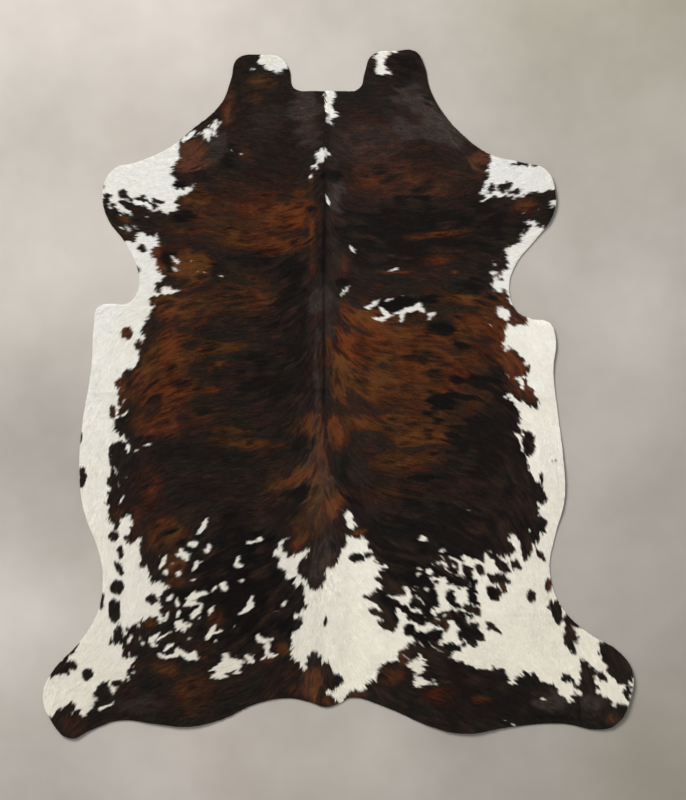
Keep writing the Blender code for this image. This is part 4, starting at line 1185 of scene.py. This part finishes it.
def hide_rim(mesh):
    """The outline of the CAD hide's underside, as one smooth and even anticlockwise loop."""
    kept = []
    for place in lower_edge(mesh):
        if not kept or math.dist(place, kept[-1]) > RIM_KNOT:
            kept.append(place)
    # a smooth curve through the corners
    p = np.array(kept)
    before, nxt, last = np.roll(p, 1, 0), np.roll(p, -1, 0), np.roll(p, -2, 0)
    smooth = []
    for t in np.arange(0, 1, 0.125):
        smooth.append(0.5 * (2 * p + (nxt - before) * t
                             + (2 * before - 5 * p + 4 * nxt - last) * t ** 2
                             + (3 * p - before - 3 * nxt + last) * t ** 3))
    curve = np.stack(smooth, 1).reshape(-1, 2)
    lengths = np.hypot(*(np.roll(curve, -1, 0) - curve).T)
    along = np.concatenate([[0], np.cumsum(lengths)])
    closed = np.vstack([curve, curve[:1]])
    count = int(along[-1] / RIM_STEP)
    at = np.arange(count) * along[-1] / count
    loop = np.stack([np.interp(at, along, closed[:, k]) for k in (0, 1)], 1)
    return loop if signed_area(loop) > 0 else loop[::-1]


def hide_lift(mesh):
    """How far the CAD hide's underside stands off the floor, smoothed, over the grid."""
    bm = bmesh.new()
    bm.from_mesh(mesh)
    tree = BVHTree.FromBMesh(bm)
    bm.free()
    xs, ys = XS[::LIFT_STEP], YS[::LIFT_STEP]
    lift = np.zeros((len(ys), len(xs)))
    known = np.zeros_like(lift)
    for j, y in enumerate(ys):
        for i, x in enumerate(xs):
            hit = tree.ray_cast(Vector((x, y, -1)), Vector((0, 0, 1)))[0]
            if hit is not None:
                lift[j, i], known[j, i] = max(0, hit.z), 1
    near = blur(lift * known, 1) / np.maximum(blur(known, 1), 1e-9)
    wide = blur(lift * known, 6) / np.maximum(blur(known, 6), 1e-9)
    return refine(np.where(blur(known, 1) > 0.02, near, wide), LIFT_STEP)


def crease_relief():
    """The folds that the hair shows: metres to add to the hide's lift, and the painted shade along
    each (a painted highlight where it is lighter).
    """
    relief, painted_crease_shade = np.zeros((ROWS, COLUMNS)), np.zeros((ROWS, COLUMNS))
    for _, points, half_width, height, dark in CREASES:
        points = [metres(point) for point in points]
        half_width, height = metres((half_width, height))
        length = sum(math.dist(a, b) for a, b in zip(points, points[1:]))
        done = 0
        level = np.zeros_like(relief)
        for a, b in zip(points, points[1:]):
            near = window_round((a, b), REACH)
            distance, t = along_stretch(X[near], Y[near], a, b)
            at = (done + t * math.dist(a, b)) / length
            fade = smoothstep(at / 0.15) * smoothstep((1 - at) / 0.15)
            new = fade * np.exp(-(distance / half_width) ** 2)
            level[near] = np.maximum(level[near], new)
            done += math.dist(a, b)
        relief += height * level
        # painted shade along the fold; where dark is below 0, a painted highlight on a crest
        painted_crease_shade += dark * level
    return relief, painted_crease_shade


def whiteness(depth):
    """How white hair is, from how deep it grows in white coat."""
    return smoothstep(0.5 + (depth - WHITE_FROM) / WHITE_FADE)


def add_field(mesh, name, values):
    """Gives a mesh a number at each of its corners, which the materials read."""
    attribute = mesh.attributes.new(name, "FLOAT", "POINT")
    attribute.data.foreach_set("value", np.ascontiguousarray(values, dtype=np.float32))


def coat_on_skin(coat, x, y):
    """The coat's colour fields for the skin between the hairs."""
    colours = {"white": whiteness(read(coat["depth"], x, y))}
    for name in ("rust", "grey", "hue", "cream"):
        colours[name] = read(coat[name], x, y)
    # painted shade: the skin under the hairs is darkened
    colours["shade"] = np.full(len(x), SKIN_SHADE)
    return colours


def make_skin(rim, top, under, rim_depth, coat):
    """The tanned skin: its haired top, its suede underside and the raw cut edge."""
    count = len(rim)

    def fill(step, extra):
        """The flat triangles inside the outline, with points on a grid and a few more."""
        gx, gy = staggered(step)
        inner = read(rim_depth, gx, gy) > RIM_MARGIN
        if extra:
            inner &= np.abs(gx - SPINE_X) > 2 * SPINE_LANE
        points = [*map(Vector, rim), *map(Vector, zip(gx[inner], gy[inner])), *map(Vector, extra)]
        edges = [(i, (i + 1) % count) for i in range(count)]
        verts, _, faces, *_ = delaunay_2d_cdt(points, edges, [], 1, 1e-6)
        p, tri = np.array([tuple(v) for v in verts]), np.array([tuple(f) for f in faces])
        if not np.allclose(p[:count], rim, atol=1e-6):
            raise RuntimeError("the outline's points moved")
        sides = p[tri[:, 1]] - p[tri[:, 0]], p[tri[:, 2]] - p[tri[:, 0]]
        upward = sides[0][:, 0] * sides[1][:, 1] - sides[0][:, 1] * sides[1][:, 0] > 0
        return p, np.where(upward[:, None], tri, tri[:, ::-1])

    spine = [(SPINE_X + dx, y) for y in np.arange(SPINE_FROM, SPINE_TO, SPINE_STEP)
             for dx in (-SPINE_LANE, 0.0, SPINE_LANE)]
    top_xy, top_tri = fill(TOP_STEP, spine)
    under_xy, under_tri = fill(UNDER_STEP, [])
    # the top is drawn in a little at the rim, and the cut edge stands out between top and under
    tangent = np.roll(rim, -1, 0) - np.roll(rim, 1, 0)
    tangent /= np.hypot(*tangent.T)[:, None]
    outward = np.stack([tangent[:, 1], -tangent[:, 0]], 1)
    z_top = read(top, *top_xy.T)
    z_under = np.maximum(read(under, *under_xy.T), 0)
    middle = np.column_stack([rim, 0.45 * z_top[:count] + 0.55 * z_under[:count]])
    top_xy[:count] -= TOP_INSET * outward
    under_xy[:count] -= UNDER_INSET * outward
    corners = np.vstack([
        np.column_stack([top_xy, z_top]), np.column_stack([under_xy, z_under]), middle])
    ring = np.arange(count)
    nxt = (ring + 1) % count
    low = len(top_xy)
    mid = low + len(under_xy)
    wall = np.vstack([
        np.column_stack([ring, mid + ring, mid + nxt]), np.column_stack([ring, mid + nxt, nxt]),
        np.column_stack([mid + ring, low + ring, low + nxt]),
        np.column_stack([mid + ring, low + nxt, mid + nxt])])
    triangles = np.vstack([top_tri, under_tri[:, ::-1] + low, wall])
    slots = np.repeat([0, 1, 2], [len(top_tri), len(under_tri), len(wall)])
    mesh = bpy.data.meshes.new("skin")
    fill_mesh(mesh, corners, triangles)
    mesh.polygons.foreach_set("material_index", slots.astype(np.int32))
    mesh.polygons.foreach_set("use_smooth", np.ones(len(triangles), bool))
    mesh.update()
    for name, values in coat_on_skin(coat, corners[:, 0], corners[:, 1]).items():
        add_field(mesh, name, values)
    # the map for baking: the top on the left half, the underside and the edge on the right
    u = 0.005 + 0.485 * (corners[:, 0] - GRID_X) / (-2 * GRID_X)
    v = (corners[:, 1] - GRID_Y) / (-2 * GRID_Y)
    right = slots > 0
    uv = np.stack([u[triangles] + 0.5 * right[:, None], v[triangles]], 2)
    mesh.uv_layers.new(name="OFBake").data.foreach_set("uv", uv.astype(np.float32).ravel())
    return bpy.data.objects.new("skin", mesh)


def fill_mesh(mesh, corners, triangles):
    """Gives a new mesh its corners and its triangles."""
    mesh.vertices.add(len(corners))
    mesh.vertices.foreach_set("co", corners.astype(np.float32).ravel())
    mesh.loops.add(3 * len(triangles))
    mesh.loops.foreach_set("vertex_index", triangles.astype(np.int32).ravel())
    mesh.polygons.add(len(triangles))
    mesh.polygons.foreach_set("loop_start", np.arange(0, 3 * len(triangles), 3, dtype=np.int32))
    mesh.update(calc_edges=True)


def comb_hair(rim_depth, top, dx, dy, grey, noises, rng):
    """Every hair's three corners, and the place of its root and its run to the tip."""
    fine, middle, broad, tangle, ruffle = noises
    x, y = staggered(HAIR_SPACING)
    x = x + rng.uniform(-0.5, 0.5, len(x)) * HAIR_SPACING
    y = y + rng.uniform(-0.5, 0.5, len(y)) * HAIR_SPACING
    inside = read(rim_depth, x, y) > ROOT_MARGIN
    x, y = x[inside], y[inside]
    n = len(x)
    hx, hy = read(dx, x, y), read(dy, x, y)
    azimuth = np.arctan2(hy, hx)
    azimuth += TURN_BY_TUFT * (read(tangle, x, y) - 0.5) + rng.normal(0, TURN_BY_HAIR, n) * (
        1 + 3 * read(grey, x, y))
    hx, hy = np.cos(azimuth), np.sin(azimuth)
    length = HAIR_LENGTH * np.clip(rng.normal(1, 0.2, n), 0.5, 1.5)
    length *= 0.85 + 0.3 * read(broad, x, y)
    slope = np.radians(np.clip(
        HAIR_SLOPE + 3.0 * (read(ruffle, x, y) - 0.5) + 2.2 * (read(middle, x, y) - 0.5)
        + rng.normal(0, 1.2, n), 1.5, 13))
    # hair at the cut edge reaches only a little past it
    reach = length * np.cos(slope)
    here = read(rim_depth, x, y)
    there = read(rim_depth, x + reach * hx, y + reach * hy)
    room = (here + HAIR_OVERHANG * rng.uniform(0.3, 1, n)) / np.maximum(here - there, 1e-6)
    length *= np.where(there < 0, np.clip(room, 0.15, 1), 1)
    reach = length * np.cos(slope)
    tip_x, tip_y = x + reach * hx, y + reach * hy
    root_z = read(top, x, y)
    on_skin = read(rim_depth, tip_x, tip_y) > 0
    ground = np.where(on_skin, read(top, tip_x, tip_y), root_z)
    tip_z = ground + length * np.sin(slope) + HAIR_CLEARANCE
    width = HAIR_WIDTH * rng.uniform(0.75, 1.2, n)
    roll = rng.normal(0, ROLL_BY_HAIR, n) + ROLL_BY_TUFT * (read(fine, x, y) - 0.5)
    # the way across the blade
    ax, ay, az = -hy * np.cos(roll), hx * np.cos(roll), np.sin(roll)
    half = width / 2
    lift = half * np.abs(az)
    left = np.stack([x + half * ax, y + half * ay, root_z + lift + half * az], 1)
    right = np.stack([x - half * ax, y - half * ay, root_z + lift - half * az], 1)
    tip = np.stack([tip_x, tip_y, tip_z], 1)
    corners = np.stack([right, tip, left], 1)
    return corners, (x, y, hx * reach, hy * reach)


def shade_hair(places, coat, crease_painted_shade, noises, rng):
    """The coat's colour fields at every hair's three corners: root, tip and root."""
    x, y, run_x, run_y = places
    fine, middle, _, _, ruffle = noises
    own = rng.normal(0, 1, len(x))
    stray = rng.normal(0, STRAY, len(x))
    colours = {"white": np.stack([
        whiteness(read(coat["depth"], x + share * run_x, y + share * run_y) + stray)
        for share in WHITE_AT], 1)}
    pale = colours["white"][:, 1]
    # painted sheen and shade along the streaks of the coat, with each hair's own tone; both weaker
    # in white hair
    painted_clump_sheen = 0.16 * (read(fine, x, y) - 0.5) + 0.14 * (read(middle, x, y) - 0.5)
    shade = 1 + (0.10 * own + painted_clump_sheen) * (1 - 0.75 * pale)
    # hair with grey in it, the coat's own and the painted sheen, is flecked with single pale hairs
    flecks = (0.12 * (read(fine, x, y) - 0.5) + 0.3 * (read(ruffle, x, y) - 0.5)
              + 0.24 * own + 1.1 * (own > 2.1))
    shade = shade + read(coat["grey"], x, y) * flecks
    # painted shade along the folds, and a painted highlight on the crests
    shade = np.clip(shade, 0.5, 2.2) * (1 - read(crease_painted_shade, x, y))
    for name in ("rust", "grey", "hue", "cream"):
        low = read(coat[name], x + ROOT_COLOUR_AT * run_x, y + ROOT_COLOUR_AT * run_y)
        high = read(coat[name], x + TIP_COLOUR_AT * run_x, y + TIP_COLOUR_AT * run_y)
        if name == "rust":
            low, high = (np.clip(value + 0.07 * own, 0, 1) for value in (low, high))
        colours[name] = np.stack([low, high, low], 1)
    # painted shade: darker at the root, where the hairs shade each other, and less so where the
    # hair is white
    root = shade * (0.78 + 0.17 * pale)
    colours["shade"] = np.stack([root, shade * (1.08 - 0.04 * pale), root], 1)
    return colours


def make_bands(corners, y, colours):
    """The coat in bands from the tail forwards, each a mesh of single-triangle hairs."""
    material = coat_material("coat")
    bands = []
    order = np.argsort(y, kind="stable")
    for name, index in zip(COAT_BANDS, np.array_split(order, len(COAT_BANDS))):
        mesh = bpy.data.meshes.new("coat_" + name)
        flat = corners[index].reshape(-1, 3)
        fill_mesh(mesh, flat, np.arange(len(flat)).reshape(-1, 3))
        for field, values in colours.items():
            add_field(mesh, field, values[index].ravel())
        # the map for baking: the band as seen from above
        low, high = flat.min(0), flat.max(0)
        uv = 0.004 + 0.992 * (flat[:, :2] - low[:2]) / (high[:2] - low[:2])
        mesh.uv_layers.new(name="OFBake").data.foreach_set("uv", uv.astype(np.float32).ravel())
        mesh.materials.append(material)
        band = bpy.data.objects.new("coat_" + name, mesh)
        bpy.context.collection.objects.link(band)
        bands.append(band)
    return bands


# ---------------------------------------------------------------- materials
class Nodes:
    """Short calls for building a node tree."""

    def __init__(self, name):
        self.material = bpy.data.materials.new(name)
        self.material.use_nodes = True
        self.tree = self.material.node_tree
        self.tree.nodes.clear()
        self.shader = self.add("ShaderNodeBsdfPrincipled")
        output = self.add("ShaderNodeOutputMaterial")
        self.link(self.shader.outputs[0], output.inputs[0])

    def add(self, kind, **settings):
        node = self.tree.nodes.new(kind)
        for key, value in settings.items():
            setattr(node, key, value)
        return node

    def link(self, source, target):
        self.tree.links.new(source, target)

    def field(self, name):
        """A number that the mesh has at each corner."""
        return self.add("ShaderNodeAttribute", attribute_name=name).outputs["Fac"]

    def place(self):
        """Where a point of the surface is, in metres of the object."""
        return self.add("ShaderNodeTexCoord").outputs["Object"]

    def away_from(self, place, x, y):
        """How far a place is from one on the floor."""
        node = self.add("ShaderNodeVectorMath", operation="DISTANCE")
        self.link(place, node.inputs[0])
        node.inputs[1].default_value = (x, y, 0)
        return node.outputs["Value"]

    def noise(self, place, scale, detail=3, roughness=0.55, stretch=None):
        """Cloudy noise, as fine as its scale, drawn out by a stretch along each axis."""
        if stretch:
            mapping = self.add("ShaderNodeMapping")
            mapping.inputs["Scale"].default_value = stretch
            self.link(place, mapping.inputs["Vector"])
            place = mapping.outputs[0]
        node = self.add("ShaderNodeTexNoise")
        node.inputs["Scale"].default_value = scale
        node.inputs["Detail"].default_value = detail
        node.inputs["Roughness"].default_value = roughness
        self.link(place, node.inputs["Vector"])
        return node.outputs["Fac"]

    def span(self, value, low, high, to_low, to_high, kind="LINEAR"):
        """A number moved from one span to another, and kept inside it."""
        node = self.add("ShaderNodeMapRange", interpolation_type=kind)
        for key, number in zip(("From Min", "From Max", "To Min", "To Max"),
                               (low, high, to_low, to_high)):
            node.inputs[key].default_value = number
        self.link(value, node.inputs["Value"])
        return node.outputs[0]

    def ramp(self, value, stops):
        """A colour looked up by a number, from stops of (position, colour)."""
        node = self.add("ShaderNodeValToRGB")
        elements = node.color_ramp.elements
        while len(elements) < len(stops):
            elements.new(0.5)
        for element, (position, colour) in zip(elements, stops):
            element.position = position
            element.color = (*colour, 1)
        self.link(value, node.inputs["Fac"])
        return node.outputs["Color"]

    def mix(self, amount, a, b, blend="MIX"):
        """Two colours mixed; each input is a socket or a constant."""
        node = self.add("ShaderNodeMix", data_type="RGBA", blend_type=blend)
        for source, index in ((amount, 0), (a, 6), (b, 7)):
            if isinstance(source, bpy.types.NodeSocket):
                self.link(source, node.inputs[index])
            elif index == 0:
                node.inputs[index].default_value = source
            else:
                node.inputs[index].default_value = (*source, 1)
        return node.outputs[2]

    def scale(self, colour, factor):
        """A colour brightened by a number that comes from a socket."""
        node = self.add("ShaderNodeVectorMath", operation="SCALE")
        self.link(colour, node.inputs[0])
        self.link(factor, node.inputs["Scale"])
        return node.outputs[0]

    def bump(self, height, distance, strength=0.5):
        """Fine relief of the surface, from a height."""
        node = self.add("ShaderNodeBump")
        node.inputs["Distance"].default_value = distance
        node.inputs["Strength"].default_value = strength
        self.link(height, node.inputs["Height"])
        self.link(node.outputs[0], self.shader.inputs["Normal"])

    def set(self, **values):
        """Constant values on the shader's own sockets."""
        for key, value in values.items():
            self.shader.inputs[key.replace("_", " ")].default_value = value


def coat_material(name):
    """Cowhide hair: white, or brindle from near black through rust to orange."""
    n = Nodes(name)
    place = n.place()
    dark = n.ramp(n.field("rust"), BRINDLE_RAMP)
    hue = n.field("hue")
    # red above 0 and yellow below it, and small redder patches over both
    dark = n.mix(n.span(hue, 0, 1, 0, 1), dark, REDDER, "MULTIPLY")
    dark = n.mix(n.span(hue, -1, 0, 1, 0), dark, YELLOWER, "MULTIPLY")
    dark = n.mix(n.span(n.noise(place, 24, 4), 0.5, 0.7, 0, 0.5), dark, REDDER, "MULTIPLY")
    # grey: the coat's own grey-brown, and in places a painted sheen
    grey_hair_and_sheen = n.mix(n.span(n.field("grey"), 0, 1, 0, 0.85), dark, GREY_HAIR_AND_SHEEN)
    pale = n.mix(n.field("cream"), WHITE_HAIR, CREAM_HAIR)
    pale = n.mix(n.span(n.noise(place, 5.0, 2), 0.42, 0.66, 0, 0.5), pale, CREAM_HAIR)
    # the shade field darkens and lightens the hair: painted shade at the roots, on the skin and in
    # folds, painted sheen along streaks, and each hair's own tone
    hair = n.scale(n.mix(n.field("white"), grey_hair_and_sheen, pale), n.field("shade"))
    flick = n.span(n.noise(place, 420, 2), 0.25, 0.75, 0.9, 1.1)
    n.link(n.scale(hair, flick), n.shader.inputs["Base Color"])
    n.link(n.span(n.field("white"), 0, 1, 0.62, 0.72), n.shader.inputs["Roughness"])
    n.set(Specular_IOR_Level=0.05)
    n.bump(n.noise(place, 900, 2), 0.0004, 0.35)
    return n.material


def suede_material():
    """The flesh side: a soft brushed suede in beige, scuffed and finely pored."""
    n = Nodes("suede")
    place = n.place()
    broad, middle, nap = n.noise(place, 3, 4), n.noise(place, 40, 4), n.noise(place, 700, 4)
    colour = n.ramp(broad, ((0.3, SUEDE_DEEP), (0.7, SUEDE_PALE)))
    colour = n.scale(colour, n.span(middle, 0.3, 0.7, 0.9, 1.08))
    colour = n.scale(colour, n.span(nap, 0.3, 0.7, 0.86, 1.1))
    n.link(colour, n.shader.inputs["Base Color"])
    n.link(n.span(middle, 0.3, 0.7, 0.88, 0.97), n.shader.inputs["Roughness"])
    n.set(Specular_IOR_Level=0.15, Sheen_Weight=0.2, Sheen_Roughness=0.6)
    n.bump(nap, 0.0006, 0.6)
    return n.material


def edge_material():
    """The raw cut edge: pale leather with its loose fibres."""
    n = Nodes("cut_edge")
    place = n.place()
    fibre = n.noise(place, 500, 5, stretch=(1, 1, 3))
    colour = n.ramp(n.noise(place, 60, 3), ((0.3, CUT_DEEP), (0.7, CUT_PALE)))
    colour = n.scale(colour, n.span(fibre, 0.3, 0.7, 0.8, 1.12))
    n.link(colour, n.shader.inputs["Base Color"])
    n.link(n.span(fibre, 0.3, 0.7, 0.8, 0.95), n.shader.inputs["Roughness"])
    n.set(Specular_IOR_Level=0.2)
    n.bump(fibre, 0.0005, 0.6)
    return n.material


def floor_material():
    """A plain pale floor of worn plaster, with soft tones in it, and painted light that pales it
    towards the lamp's side.
    """
    n = Nodes("floor")
    place = n.place()
    split = n.add("ShaderNodeSeparateXYZ")
    n.link(place, split.inputs[0])
    slant = n.add("ShaderNodeMath", operation="SUBTRACT")
    n.link(split.outputs[0], slant.inputs[0])
    n.link(split.outputs[1], slant.inputs[1])
    colour = n.ramp(n.noise(place, 1.7, 4, 0.6), ((0.32, FLOOR_A), (0.68, FLOOR_B)))
    # a tone of the floor's own, partly painted light from the lamp's side: paler towards the neck
    # and the left
    colour = n.scale(colour, n.span(slant.outputs[0], -2.4, 2.4, 1.2, 0.8))
    for x, y, radius, tint in FLOOR_TONES:
        tone = n.span(n.away_from(place, x, y), 0, radius, 1, 0, "SMOOTHSTEP")
        colour = n.mix(tone, colour, tint, "MULTIPLY")
    # plain well away from the rug, and darker under the lamp, which keeps it even
    plain = n.span(n.away_from(place, 0, 0), 1.8, 3.4, 0, 1, "SMOOTHSTEP")
    colour = n.mix(plain, colour, FLOOR_FAR)
    from_lamp = n.away_from(place, LAMP_PLACE[0], LAMP_PLACE[1])
    colour = n.scale(colour, n.span(from_lamp, 0.5, 6.6, 0.36, 1, "SMOOTHSTEP"))
    n.link(colour, n.shader.inputs["Base Color"])
    n.set(Roughness=0.9, Specular_IOR_Level=0.1)
    n.bump(n.noise(place, 300, 3), 0.0002, 0.2)
    return n.material


# ---------------------------------------------------------------- studio
def make_floor():
    """A wide flat floor, just below the hide."""
    mesh = bpy.data.meshes.new("floor")
    corners = [(x * FLOOR_HALF, y * FLOOR_HALF, 0) for x, y in ((-1, -1), (1, -1), (1, 1), (-1, 1))]
    mesh.from_pydata(corners, [], [(0, 1, 2, 3)])
    floor = bpy.data.objects.new("floor", mesh)
    floor.location.z = -FLOOR_DROP
    bpy.context.collection.objects.link(floor)
    mesh.materials.append(floor_material())


def make_lights():
    """An even pale sky and one large soft lamp, high behind the neck and to the left."""
    world = bpy.data.worlds.new("studio")
    world.use_nodes = True
    background = world.node_tree.nodes["Background"]
    background.inputs["Color"].default_value = WORLD_COLOUR
    background.inputs["Strength"].default_value = WORLD_STRENGTH
    bpy.context.scene.world = world
    data = bpy.data.lights.new("key", "AREA")
    data.shape = "DISK"
    data.size = LAMP_SIZE
    data.energy = LAMP_POWER
    data.color = LAMP_COLOUR
    lamp = bpy.data.objects.new("key", data)
    lamp.location = LAMP_PLACE
    lamp.rotation_mode = "QUATERNION"
    lamp.rotation_quaternion = (-Vector(LAMP_PLACE)).to_track_quat("-Z", "Y")
    bpy.context.collection.objects.link(lamp)


def make_camera():
    """Straight above the rug, with the neck at the top."""
    data = bpy.data.cameras.new("camera")
    data.sensor_width = SENSOR
    data.lens = SENSOR * CAMERA_HEIGHT / FRAME_HEIGHT
    camera = bpy.data.objects.new("camera", data)
    camera.location = (CAMERA_X, CAMERA_Y, CAMERA_HEIGHT)
    camera.rotation_euler = (0, 0, 0)
    bpy.context.collection.objects.link(camera)
    bpy.context.scene.camera = camera
    bpy.context.scene.view_settings.view_transform = "Standard"


# ---------------------------------------------------------------- the whole
def main():
    """The rug round its CAD hide, the studio, and each piece attached to the root body."""
    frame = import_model()
    cad_mesh = frame["nodes"]["hide"].data
    rng = np.random.default_rng(7)

    rim = hide_rim(cad_mesh)
    rim_depth = depth_in_loop([tuple(p) for p in rim])
    relief, crease_painted_shade = crease_relief()
    under = np.maximum(hide_lift(cad_mesh), 0)
    top = np.maximum(under + LEATHER + relief, under + THINNEST)
    dx, dy = hair_direction()
    noises, coat = paint_hide(dx, dy, rng)

    skin = make_skin(rim, top, under, rim_depth, coat)
    for material in (coat_material("coat_skin"), suede_material(), edge_material()):
        skin.data.materials.append(material)
    bpy.context.collection.objects.link(skin)
    corners, places = comb_hair(rim_depth, top, dx, dy, coat["grey"], noises, rng)
    bands = make_bands(corners, places[1], shade_hair(places, coat, crease_painted_shade, noises, rng))

    make_floor()
    make_lights()
    make_camera()

    for piece in (skin, *bands):
        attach(piece, "root")
    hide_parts("hide")


main()
